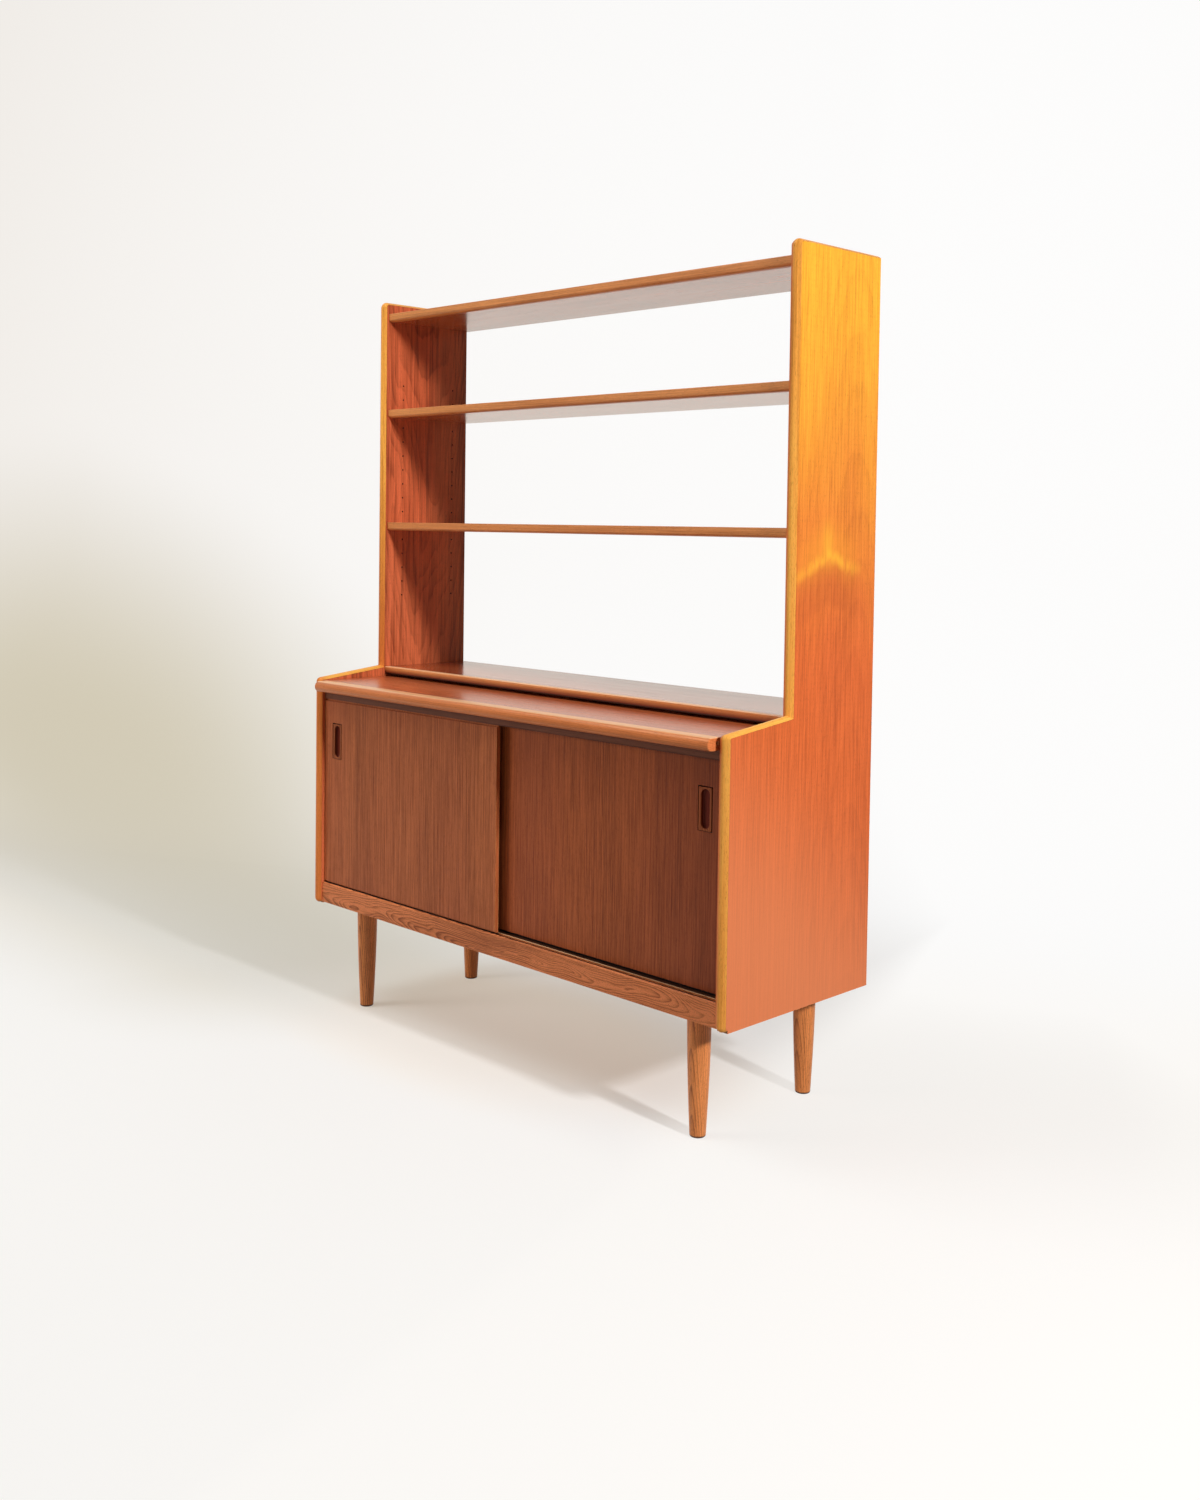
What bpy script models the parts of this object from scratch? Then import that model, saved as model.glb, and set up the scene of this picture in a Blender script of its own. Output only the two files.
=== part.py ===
"""Teak bookcase with a pull-out desk leaf over a cabinet with two sliding doors.

Metres, +Z up, +X to the viewer's right, -Y to the front. The origin is on the
floor, under the middle of the whole object.
"""

import math

import bmesh
import bpy
from mathutils import Matrix

# Overall sizes
OVERALL_WIDTH = 1.200
OVERALL_HEIGHT = 1.570
LOWER_DEPTH = 0.4085
UPPER_DEPTH = 0.240
NOSE_OVERHANG = 0.0195

# Clearance between pieces that touch
GAP = 0.0003

# Side panels and their solid edge strips
SIDE_THICKNESS = 0.023
SIDE_BELOW_RAIL = 0.003
STEP_RISE = 0.019
STEP_ABOVE_PLATFORM = 0.003
LIP_DEPTH = 0.0055
LIP_STRAIGHT = 0.0008
LIP_STEPS = 8
FOOT_CORNER_RADIUS = 0.010
STEP_CORNER_RADIUS = 0.009
TOP_CORNER_RADIUS = 0.012
CORNER_STEPS = 5

# Legs and the battens that carry them
LEG_LENGTH = 0.223
LEG_TOP_RADIUS = 0.022
LEG_FOOT_RADIUS = 0.0145
LEG_FOOT_ROUND = 0.003
LEG_SWELL = 0.0012
LEG_STEPS = 24
LEG_INSET_X = 0.112
LEG_FROM_FRONT = 0.067
LEG_FROM_BACK = 0.0405
TENON_RADIUS = 0.011
TENON_LENGTH = 0.022
TENON_CLEARANCE = 0.0004
BATTEN_THICKNESS = 0.0274
BATTEN_WIDTH = 0.070
BATTEN_BACK_INSET = 0.012
BATTEN_SCREWS = 3
BATTEN_SCREW_INSET = 0.060

# Fixed boards
CASE_BOARD = 0.018
CABINET_TOP_THICKNESS = 0.0165
SHELF_THICKNESS = 0.018
PLATFORM_THICKNESS = 0.018
SHELF_SETBACK = 0.010
PLATFORM_SETBACK = 0.007
TOP_SHELF_DROP = 0.027

# Solid front strips of the shelves
STRIP_DEPTH = 0.014
STRIP_BEVEL_BACK = 0.0095
STRIP_BEVEL_UP = 0.006
STRIP_STEPS = 5

# Door rails and tracks
BOTTOM_RAIL_HEIGHT = 0.044
BOTTOM_RAIL_SETBACK = 0.0085
BOTTOM_RAIL_ROUND = 0.003
UPPER_RAIL_HEIGHT = 0.0205
UPPER_RAIL_LIP = 0.0035
RAIL_BACK_LIP = 0.006
DOOR_OPENING = 0.410
LOWER_GROOVE_DEPTH = 0.0045
UPPER_GROOVE_DEPTH = 0.012
TRACK_CLEARANCE = 0.0004

# Sliding doors
DOOR_SETBACK = 0.0125
DOOR_THICKNESS = 0.009
DOOR_REBATE = 0.0034
DOOR_SPACING = 0.012
DOOR_OVERLAP = 0.005
DOOR_END_GAP = 0.0005
DOOR_SHOULDER = 0.0045
UPPER_TONGUE_GRIP = 0.006
RIGHT_DOOR_AJAR = 0.008

# Finger pulls
PULL_WIDTH = 0.033
PULL_HEIGHT = 0.078
PULL_INSET = 0.046
PULL_RAISE = 0.1135
PULL_SUNK = 0.001
PULL_SLOT_WIDTH = 0.0195
PULL_SLOT_HEIGHT = 0.069
PULL_SLOT_DEPTH = 0.0062
PULL_FLOOR_COVE = 0.0025
PULL_EDGE_ROUND = 0.0006
PULL_ARC_STEPS = 8

# Desk leaf
LEAF_THICKNESS = 0.018
LEAF_SIDE_GAP = 0.0015
LEAF_RAIL_GAP = 0.0005
LEAF_HEADROOM = 0.004
LEAF_BACK_GAP = 0.010
LEAF_TRAVEL = 0.160
NOSE_HEIGHT = 0.023
NOSE_RISE = 0.0005
NOSE_BULGE = 0.009
NOSE_SIDE_GAP = 0.0055
NOSE_STEPS = 10
TONGUE_THICKNESS = 0.006
TONGUE_DEPTH = 0.008
RUNNER_WIDTH = 0.014
KICKER_WIDTH = 0.020
KICKER_SETBACK = 0.024
STOP_WIDTH = 0.300
STOP_DEPTH = 0.020

# Cabinet inside and back
BACK_PANEL = 0.004
BACK_PANEL_RECESS = 0.003
BACK_REBATE_WIDTH = 0.008
DIVIDER_THICKNESS = 0.016
DIVIDER_SETBACK = 0.006
INNER_SHELF_SETBACK = 0.012
INNER_SHELF_BACK_GAP = 0.008
INNER_SHELF_THICKNESS = 0.016
INNER_HOLE_ROWS = 3
INNER_HOLE_ROW_USED = 1
INNER_FIRST_HOLE = 0.172
INNER_HOLE_INSET = 0.050
BACK_SCREWS_A_SIDE = 4
BACK_SCREW_INSET = 0.040

# Shelf holes and concealed shelf wires
HOLE_PITCH = 0.032
HOLE_COUNT = 16
FIRST_HOLE = 0.163
LOWER_SHELF_HOLE = 5
UPPER_SHELF_HOLE = 13
HOLE_RADIUS = 0.0020
HOLE_DEPTH = 0.0075
FRONT_HOLE_INSET = 0.0535
BACK_HOLE_INSET = 0.041
WIRE_RADIUS = 0.0015
WIRE_IN_HOLE = 0.0065
WIRE_OUT_OF_SIDE = 0.005
WIRE_BEND = 0.003
WIRE_ABOVE_UNDERSIDE = 0.011
GROOVE_CLEARANCE = 0.0003
WIRE_BEND_STEPS = 3

# Dowels and screws
DOWEL_RADIUS = 0.004
DOWEL_IN_SIDE = 0.012
DOWEL_IN_BOARD = 0.012
DOWEL_INSET = 0.045
SCREW_RADIUS = 0.002
SCREW_HEAD_RADIUS = 0.004
SCREW_HEAD_HEIGHT = 0.0022
SCREW_HEAD_STEPS = 3
SCREW_BITE = 0.012
ROUND_STEPS = 8

# Heights above the floor
BATTEN_BOTTOM = LEG_LENGTH + GAP
BATTEN_TOP = BATTEN_BOTTOM + BATTEN_THICKNESS
CABINET_BOTTOM_UNDER = BATTEN_TOP + GAP
CABINET_FLOOR = CABINET_BOTTOM_UNDER + CASE_BOARD
BOTTOM_RAIL_UNDER = CABINET_FLOOR - BOTTOM_RAIL_HEIGHT
SIDE_BOTTOM = BOTTOM_RAIL_UNDER - SIDE_BELOW_RAIL
UPPER_RAIL_UNDER = CABINET_FLOOR + DOOR_OPENING
UPPER_RAIL_TOP = UPPER_RAIL_UNDER + UPPER_RAIL_HEIGHT
CABINET_TOP_TOP = UPPER_RAIL_UNDER + CABINET_TOP_THICKNESS
LEAF_UNDER = UPPER_RAIL_TOP + LEAF_RAIL_GAP
LEAF_TOP = LEAF_UNDER + LEAF_THICKNESS
PLATFORM_UNDER = LEAF_TOP + LEAF_HEADROOM
PLATFORM_TOP = PLATFORM_UNDER + PLATFORM_THICKNESS
STEP_BACK_HEIGHT = PLATFORM_TOP + STEP_ABOVE_PLATFORM
STEP_FRONT_HEIGHT = STEP_BACK_HEIGHT - STEP_RISE
TOP_SHELF_TOP = OVERALL_HEIGHT - TOP_SHELF_DROP

# Places from front to back
BACK = (LOWER_DEPTH + NOSE_OVERHANG) / 2
NOSE_FRONT = -BACK
LOWER_FRONT = BACK - LOWER_DEPTH
UPPER_FRONT = BACK - UPPER_DEPTH
SHELF_FRONT = UPPER_FRONT + SHELF_SETBACK
PLATFORM_FRONT = UPPER_FRONT + PLATFORM_SETBACK
BACK_PANEL_FRONT = BACK - BACK_PANEL_RECESS - BACK_PANEL
BOARD_BACK = BACK_PANEL_FRONT - GAP
DOOR_PITCH = DOOR_THICKNESS + DOOR_SPACING
FRONT_DOOR_FACE = LOWER_FRONT + DOOR_SETBACK
REAR_DOOR_FACE = FRONT_DOOR_FACE + DOOR_PITCH
GROOVE_START = DOOR_REBATE - TRACK_CLEARANCE
GROOVE_END = DOOR_THICKNESS + TRACK_CLEARANCE
BOTTOM_RAIL_FRONT = LOWER_FRONT + BOTTOM_RAIL_SETBACK
UPPER_RAIL_FRONT = FRONT_DOOR_FACE + GROOVE_START - UPPER_RAIL_LIP
RAIL_BACK = REAR_DOOR_FACE + GROOVE_END + RAIL_BACK_LIP
NOSE_BACK = UPPER_RAIL_FRONT - GAP
LEAF_BACK = BOARD_BACK - LEAF_BACK_GAP
LEG_PLACES_Y = (LOWER_FRONT + LEG_FROM_FRONT, BACK - LEG_FROM_BACK)

# Places from side to side
HALF_WIDTH = OVERALL_WIDTH / 2
INNER = HALF_WIDTH - SIDE_THICKNESS
BOARD_END = INNER - GAP
LEAF_END = INNER - LEAF_SIDE_GAP
NOSE_END = INNER - NOSE_SIDE_GAP
LEG_X = HALF_WIDTH - LEG_INSET_X
DOOR_REACH = INNER - DOOR_END_GAP
DOOR_WIDTH = DOOR_REACH + DOOR_OVERLAP / 2

# Local X to world Y, local Y to world Z and local Z to world X
ACROSS = Matrix(((0, 0, 1, 0), (1, 0, 0, 0), (0, 1, 0, 0), (0, 0, 0, 1)))

SIDES = (("left", -1), ("right", 1))


def clear_scene():
    for obj in list(bpy.data.objects):
        bpy.data.objects.remove(obj, do_unlink=True)


def new_collection(name):
    collection = bpy.data.collections.new(name)
    bpy.context.scene.collection.children.link(collection)
    return collection


def new_material(name, colour, roughness, metallic=0.0):
    material = bpy.data.materials.new(name)
    material.use_nodes = True
    shader = material.node_tree.nodes["Principled BSDF"]
    shader.inputs["Base Color"].default_value = (*colour, 1.0)
    shader.inputs["Roughness"].default_value = roughness
    shader.inputs["Metallic"].default_value = metallic
    return material


clear_scene()
PARTS = new_collection("bookcase_with_desk")
CUTTERS = new_collection("cutters")

VENEER = (0.42, 0.13, 0.04)
LIGHT_TEAK = (0.62, 0.27, 0.06)
DOOR_TEAK = (0.27, 0.09, 0.035)
BEECH = (0.60, 0.40, 0.22)
STEEL = (0.62, 0.62, 0.60)
BRASS = (0.70, 0.52, 0.22)
PLYWOOD = (0.52, 0.36, 0.20)


def finish_part(obj, colour, roughness=0.38, metallic=0.0):
    """Puts the object in the parts collection with a material of its own."""
    for collection in list(obj.users_collection):
        collection.objects.unlink(obj)
    PARTS.objects.link(obj)
    obj.data.materials.clear()
    obj.data.materials.append(new_material(obj.name, colour, roughness, metallic))
    return obj


def finish_cutter(obj):
    """Puts the object with the cutters, which neither render nor count."""
    for collection in list(obj.users_collection):
        collection.objects.unlink(obj)
    CUTTERS.objects.link(obj)
    obj.hide_render = True
    obj.display_type = "WIRE"


def shade_round(mesh, degrees=35):
    mesh.shade_smooth()
    mesh.set_sharp_from_angle(angle=math.radians(degrees))


def object_from_bmesh(name, bm, matrix=None):
    mesh = bpy.data.meshes.new(name)
    bm.to_mesh(mesh)
    bm.free()
    obj = bpy.data.objects.new(name, mesh)
    bpy.context.scene.collection.objects.link(obj)
    if matrix is not None:
        obj.matrix_world = matrix
    return obj


def box(name, x_range, y_range, z_range):
    """A box between the two ends of each range."""
    sizes = [high - low for low, high in (x_range, y_range, z_range)]
    middle = [(high + low) / 2 for low, high in (x_range, y_range, z_range)]
    place = Matrix.Translation(middle) @ Matrix.Diagonal((*sizes, 1.0))
    bm = bmesh.new()
    bmesh.ops.create_cube(bm, size=1.0, matrix=place)
    return object_from_bmesh(name, bm)


def add_rod(bm, start, end, radius):
    """Adds a capped round rod from start to end, both along X, Y or Z."""
    length = math.dist(start, end)
    middle = [(a + b) / 2 for a, b in zip(start, end)]
    turn = Matrix.Identity(4)
    if start[0] != end[0]:
        turn = Matrix.Rotation(math.pi / 2, 4, "Y")
    elif start[1] != end[1]:
        turn = Matrix.Rotation(math.pi / 2, 4, "X")
    bmesh.ops.create_cone(
        bm,
        cap_ends=True,
        segments=ROUND_STEPS,
        radius1=radius,
        radius2=radius,
        depth=length,
        matrix=Matrix.Translation(middle) @ turn,
    )


def rods(name, ends, radius):
    bm = bmesh.new()
    for start, end in ends:
        add_rod(bm, start, end, radius)
    return object_from_bmesh(name, bm)


def poly_curve(name, points, closed, matrix):
    """A flat curve of straight runs through the points."""
    curve = bpy.data.curves.new(name, "CURVE")
    curve.dimensions = "2D"
    spline = curve.splines.new("POLY")
    spline.points.add(len(points) - 1)
    for point, (across, up) in zip(spline.points, points):
        point.co = (across, up, 0.0, 1.0)
    spline.use_cyclic_u = closed
    obj = bpy.data.objects.new(name, curve)
    bpy.context.scene.collection.objects.link(obj)
    obj.matrix_world = matrix
    return obj


def curve_to_mesh(obj):
    """Replaces a curve object with its mesh, welded and facing outwards."""
    name = obj.name
    matrix = obj.matrix_world.copy()
    graph = bpy.context.evaluated_depsgraph_get()
    mesh = bpy.data.meshes.new_from_object(obj.evaluated_get(graph))
    bpy.data.objects.remove(obj, do_unlink=True)
    bm = bmesh.new()
    bm.from_mesh(mesh)
    bmesh.ops.remove_doubles(bm, verts=bm.verts, dist=0.00001)
    bmesh.ops.recalc_face_normals(bm, faces=bm.faces)
    bpy.data.meshes.remove(mesh)
    return object_from_bmesh(name, bm, matrix)


def extruded(name, points, length, matrix):
    """A flat outline made solid, half its length to each side of its plane."""
    obj = poly_curve(name, points, True, matrix)
    obj.data.fill_mode = "BOTH"
    obj.data.extrude = length / 2
    bpy.context.view_layer.update()
    return curve_to_mesh(obj)


def section_along_x(name, points, x_range):
    """A section of (y, z) points carried along X."""
    low, high = x_range
    place = Matrix.Translation(((low + high) / 2, 0.0, 0.0)) @ ACROSS
    return extruded(name, points, high - low, place)


def shape_with(target, helper, operation):
    finish_cutter(helper)
    modifier = target.modifiers.new(helper.name, "BOOLEAN")
    modifier.operation = operation
    modifier.object = helper
    return modifier


def cut(target, cutter):
    shape_with(target, cutter, "DIFFERENCE")


def join(target, piece):
    """The exact solver leaves bad faces round a dowel at some depths."""
    shape_with(target, piece, "UNION").solver = "MANIFOLD"


def arc(centre, radius, start, end, steps, squash=1.0):
    """Points of an arc from start to end degrees; squash scales its height."""
    points = []
    for step in range(steps + 1):
        angle = math.radians(start + (end - start) * step / steps)
        across = centre[0] + radius * math.cos(angle)
        points.append((across, centre[1] + radius * squash * math.sin(angle)))
    return points


def slide(name, place):
    """An empty on a sliding joint's axis, which carries the moving pieces."""
    empty = bpy.data.objects.new(name, None)
    empty.empty_display_size = 0.05
    empty.location = place
    PARTS.objects.link(empty)
    return empty


def ride(piece, empty):
    bpy.context.view_layer.update()
    piece.parent = empty
    piece.matrix_parent_inverse = empty.matrix_world.inverted()


# Joints of the carcass: where the dowels, wires and screws go

def pair_of_dowels(height, front, back):
    return [(front + DOWEL_INSET, height), (back - DOWEL_INSET, height)]


def rail_dowel(height):
    """The rail's one dowel goes into the ridge between its two grooves."""
    ridge_middle = FRONT_DOOR_FACE + (GROOVE_END + DOOR_PITCH + GROOVE_START) / 2
    return [(ridge_middle, height)]


TOP_SHELF_MIDDLE = TOP_SHELF_TOP - SHELF_THICKNESS / 2
PLATFORM_MIDDLE = PLATFORM_TOP - PLATFORM_THICKNESS / 2
CABINET_TOP_MIDDLE = CABINET_TOP_TOP - CABINET_TOP_THICKNESS / 2
CABINET_BOTTOM_MIDDLE = CABINET_FLOOR - CASE_BOARD / 2
BOARD_DOWELS = {
    "top_shelf": pair_of_dowels(TOP_SHELF_MIDDLE, SHELF_FRONT, BACK),
    "platform": pair_of_dowels(PLATFORM_MIDDLE, PLATFORM_FRONT, BACK),
    "cabinet_top": pair_of_dowels(CABINET_TOP_MIDDLE, RAIL_BACK, BOARD_BACK),
    "cabinet_bottom": pair_of_dowels(CABINET_BOTTOM_MIDDLE, RAIL_BACK, BOARD_BACK),
    "upper_rail": rail_dowel(UPPER_RAIL_TOP - UPPER_RAIL_HEIGHT / 2),
    "bottom_rail": rail_dowel(CABINET_FLOOR - BOTTOM_RAIL_HEIGHT / 2),
}


def wire_columns(front, back):
    return (front + FRONT_HOLE_INSET, back - BACK_HOLE_INSET)


UPPER_COLUMNS = wire_columns(UPPER_FRONT, BACK)
INNER_COLUMNS = (
    RAIL_BACK + DIVIDER_SETBACK + INNER_HOLE_INSET,
    BOARD_BACK - INNER_HOLE_INSET,
)


def shelf_hole_height(index):
    return PLATFORM_TOP + FIRST_HOLE + HOLE_PITCH * index


def inner_hole_height(index):
    return CABINET_FLOOR + INNER_FIRST_HOLE + HOLE_PITCH * index


def upper_holes():
    return [(y, shelf_hole_height(i)) for y in UPPER_COLUMNS for i in range(HOLE_COUNT)]


def inner_holes():
    rows = range(INNER_HOLE_ROWS)
    return [(y, inner_hole_height(i)) for y in INNER_COLUMNS for i in rows]


def back_screw_heights():
    low = CABINET_BOTTOM_UNDER + BACK_SCREW_INSET
    high = PLATFORM_UNDER - BACK_SCREW_INSET
    count = BACK_SCREWS_A_SIDE
    return [low + (high - low) * i / (count - 1) for i in range(count)]


# Side panels

def side_corners(inset):
    """Corners of the side's outline, with the front, step and top moved in."""
    slope = STEP_RISE / (UPPER_FRONT - LOWER_FRONT)
    drop = inset * math.sqrt(1 + slope * slope)
    front = LOWER_FRONT + inset
    upper_front = UPPER_FRONT + inset
    step_front = STEP_FRONT_HEIGHT - drop + slope * inset
    step_back = STEP_BACK_HEIGHT - drop + slope * inset
    return {
        "foot": (front, SIDE_BOTTOM + inset),
        "step_front": (front, step_front),
        "step_back": (upper_front, step_back),
        "top_front": (upper_front, OVERALL_HEIGHT - inset),
        "top_back": (BACK, OVERALL_HEIGHT - inset),
    }


def side_edge(inset):
    """The lipped edge, from under the front corner round to the top's back."""
    corner = side_corners(inset)
    rise = math.degrees(math.atan2(STEP_RISE, UPPER_FRONT - LOWER_FRONT))
    foot = FOOT_CORNER_RADIUS - inset
    step = STEP_CORNER_RADIUS - inset
    top = TOP_CORNER_RADIUS - inset
    foot_centre = (corner["foot"][0] + foot, corner["foot"][1] + foot)
    reach = step * math.tan(math.radians(90 - rise) / 2)
    step_centre = (corner["step_front"][0] + step, corner["step_front"][1] - reach)
    top_centre = (corner["top_front"][0] + top, corner["top_front"][1] - top)
    points = arc(foot_centre, foot, 270, 180, CORNER_STEPS)
    points += arc(step_centre, step, 180, 90 + rise, CORNER_STEPS)
    points.append(corner["step_back"])
    points += arc(top_centre, top, 180, 90, CORNER_STEPS)
    points.append(corner["top_back"])
    return points


def side_board(label, sign):
    """The veneered board inside the solid edge strip, with its drillings."""
    edge = side_edge(LIP_DEPTH + GAP)
    heel = (edge[0][0] + GAP, SIDE_BOTTOM)
    start = (edge[0][0] + GAP, edge[0][1])
    outline = [(BACK, SIDE_BOTTOM), heel, start] + edge[1:]
    x_range = sorted((sign * INNER, sign * HALF_WIDTH))
    board = section_along_x("side_panel_" + label, outline, x_range)
    rebate = box(
        "back_rebate_" + label,
        sorted((sign * (INNER - GAP), sign * (INNER + BACK_REBATE_WIDTH))),
        (BACK_PANEL_FRONT - GAP, BACK + GAP),
        (CABINET_BOTTOM_UNDER - GAP, PLATFORM_UNDER),
    )
    cut(board, rebate)
    cut(board, side_drilling(label, sign))
    cut(board, dowel_drilling(label, sign))
    cut(board, back_screw_drilling("back_screw_holes_" + label, sign))
    finish_part(board, VENEER)


def side_drilling(label, sign):
    start = sign * (INNER - GAP)
    end = sign * (INNER + HOLE_DEPTH)
    places = upper_holes() + inner_holes()
    ends = [((start, y, z), (end, y, z)) for y, z in places]
    return rods("shelf_holes_" + label, ends, HOLE_RADIUS)


def dowel_drilling(label, sign):
    """A hole in the side for each dowel of the boards and rails."""
    low = sign * (INNER - GAP)
    high = sign * (INNER + DOWEL_IN_SIDE + GAP)
    places = [place for board in BOARD_DOWELS.values() for place in board]
    ends = [((low, y, z), (high, y, z)) for y, z in places]
    return rods("side_dowel_holes_" + label, ends, DOWEL_RADIUS + GAP)


def join_dowels(board):
    """Joins the glued dowels to both ends of a board or rail."""
    low = BOARD_END - DOWEL_IN_BOARD
    high = INNER + DOWEL_IN_SIDE
    places = BOARD_DOWELS[board.name]
    ends = [((sign * low, y, z), (sign * high, y, z)) for _, sign in SIDES for y, z in places]
    join(board, rods(board.name + "_dowels", ends, DOWEL_RADIUS))


def side_strip(label, sign):
    """The solid edge strip, a half-round section swept along the edge."""
    half = SIDE_THICKNESS / 2
    bulge = LIP_DEPTH - LIP_STRAIGHT
    nose = arc((-LIP_STRAIGHT, 0.0), bulge, 270, 90, LIP_STEPS, half / bulge)
    section = [(0.0, half), (0.0, -half)] + nose
    flat = Matrix.Identity(4)
    profile = poly_curve("strip_section_" + label, section, True, flat)
    middle = sign * (INNER + half)
    place = Matrix.Translation((middle, 0.0, 0.0)) @ ACROSS
    strip = poly_curve("side_strip_" + label, side_edge(LIP_DEPTH), False, place)
    strip.data.bevel_mode = "OBJECT"
    strip.data.bevel_object = profile
    strip.data.use_fill_caps = True
    bpy.context.view_layer.update()
    strip = curve_to_mesh(strip)
    bpy.data.objects.remove(profile, do_unlink=True)
    shade_round(strip.data)
    finish_part(strip, LIGHT_TEAK, 0.34)


# Fixed boards, shelves and their front strips

def strip_section(front, under, top):
    """A shelf's front strip: square on top, eased back below."""
    back = front + STRIP_DEPTH
    centre = (front + STRIP_BEVEL_BACK, under + STRIP_BEVEL_UP)
    squash = STRIP_BEVEL_UP / STRIP_BEVEL_BACK
    ease = arc(centre, STRIP_BEVEL_BACK, 180, 270, STRIP_STEPS, squash)
    return [(front, top)] + ease + [(back, under), (back, top)]


def front_strip(name, front, under, top):
    section = strip_section(front, under, top)
    strip = section_along_x(name, section, (-BOARD_END, BOARD_END))
    shade_round(strip.data)
    finish_part(strip, LIGHT_TEAK, 0.34)


def fixed_board(name, front, back, under, top):
    board = box(name, (-BOARD_END, BOARD_END), (front, back), (under, top))
    join_dowels(board)
    return finish_part(board, VENEER)


def lipped_board(name, front, under, top):
    """A fixed board to the very back, with a solid strip along its front."""
    fixed_board(name, front + STRIP_DEPTH + GAP, BACK, under, top)
    front_strip(name + "_strip", front, under, top)


def wire_groove(name, face, inwards, column, height, back):
    """A groove in a shelf's end, open at the back, for the concealed wire."""
    half = WIRE_RADIUS + GROOVE_CLEARANCE
    reach = face + inwards * (WIRE_OUT_OF_SIDE + half)
    y_range = (column - half, back + GAP)
    return box(name, sorted((face, reach)), y_range, (height - half, height + half))


def shelf_wire(name, face, inwards, columns, height):
    """A bent steel wire: into the side, along the shelf's end, and back in."""
    first, last = columns
    bend_at = WIRE_OUT_OF_SIDE - WIRE_BEND
    points = [(-WIRE_IN_HOLE, first)]
    points += arc((bend_at, first + WIRE_BEND), WIRE_BEND, 270, 360, WIRE_BEND_STEPS)
    points += arc((bend_at, last - WIRE_BEND), WIRE_BEND, 0, 90, WIRE_BEND_STEPS)
    points.append((-WIRE_IN_HOLE, last))
    curve = bpy.data.curves.new(name, "CURVE")
    curve.dimensions = "3D"
    curve.bevel_depth = WIRE_RADIUS
    curve.bevel_resolution = 2
    curve.use_fill_caps = True
    spline = curve.splines.new("POLY")
    spline.points.add(len(points) - 1)
    for point, (across, along) in zip(spline.points, points):
        point.co = (face + inwards * across, along, height, 1.0)
    obj = bpy.data.objects.new(name, curve)
    bpy.context.scene.collection.objects.link(obj)
    bpy.context.view_layer.update()
    wire = curve_to_mesh(obj)
    shade_round(wire.data, 50)
    finish_part(wire, STEEL, 0.30, 1.0)


def adjustable_shelf(name, hole):
    """A loose shelf that hangs on a concealed wire at each end."""
    height = shelf_hole_height(hole)
    under = height - WIRE_ABOVE_UNDERSIDE
    top = under + SHELF_THICKNESS
    front = SHELF_FRONT + STRIP_DEPTH + GAP
    board = box(name, (-BOARD_END, BOARD_END), (front, BACK), (under, top))
    first = UPPER_COLUMNS[0]
    for label, sign in SIDES:
        groove = name + "_groove_" + label
        cut(board, wire_groove(groove, sign * INNER, -sign, first, height, BACK))
        shelf_wire(name + "_wire_" + label, sign * INNER, -sign, UPPER_COLUMNS, height)
    finish_part(board, VENEER)
    front_strip(name + "_strip", SHELF_FRONT, under, top)


# Door rails, doors and pulls

def grooved_section(front, under, top, grooves_on_top):
    """A rail's section with one groove for each door, above or below."""
    open_side = top if grooves_on_top else under
    depth = -LOWER_GROOVE_DEPTH if grooves_on_top else UPPER_GROOVE_DEPTH
    points = []
    for face in (FRONT_DOOR_FACE, REAR_DOOR_FACE):
        start = face + GROOVE_START
        end = face + GROOVE_END
        points += [(start, open_side), (start, open_side + depth)]
        points += [(end, open_side + depth), (end, open_side)]
    far_side = under if grooves_on_top else top
    points += [(RAIL_BACK, open_side), (RAIL_BACK, far_side), (front, far_side)]
    if not grooves_on_top:
        return points + [(front, open_side)]
    radius = BOTTOM_RAIL_ROUND
    centre = (front + radius, top - radius)
    return points + arc(centre, radius, 180, 90, 4)


def door_rail(name, front, under, top, grooves_on_top):
    section = grooved_section(front, under, top, grooves_on_top)
    rail = section_along_x(name, section, (-BOARD_END, BOARD_END))
    join_dowels(rail)
    shade_round(rail.data)
    finish_part(rail, LIGHT_TEAK, 0.40)


def door_section(face):
    """The door from its side: a panel with a tongue above and below."""
    tongue_front = face + DOOR_REBATE
    back = face + DOOR_THICKNESS
    lowest = CABINET_FLOOR - LOWER_GROOVE_DEPTH + GAP
    shoulder_low = CABINET_FLOOR + DOOR_SHOULDER
    shoulder_high = UPPER_RAIL_UNDER - DOOR_SHOULDER - GAP
    highest = UPPER_RAIL_UNDER + UPPER_TONGUE_GRIP
    return [
        (tongue_front, lowest),
        (back, lowest),
        (back, highest),
        (tongue_front, highest),
        (tongue_front, shoulder_high),
        (face, shoulder_high),
        (face, shoulder_low),
        (tongue_front, shoulder_low),
    ]


def pull_height():
    return CABINET_FLOOR + DOOR_OPENING / 2 + PULL_RAISE


def sliding_door(label, face, x_range, pull_x, carrier):
    door = section_along_x("sliding_door_" + label, door_section(face), x_range)
    half_width = PULL_WIDTH / 2 + GAP
    half_height = PULL_HEIGHT / 2 + GAP
    middle = pull_height()
    mortise = box(
        "pull_mortise_" + label,
        (pull_x - half_width, pull_x + half_width),
        (face - GAP, face + DOOR_THICKNESS + GAP),
        (middle - half_height, middle + half_height),
    )
    cut(door, mortise)
    ride(mortise, carrier)
    finish_part(door, DOOR_TEAK, 0.42)
    ride(door, carrier)


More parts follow.
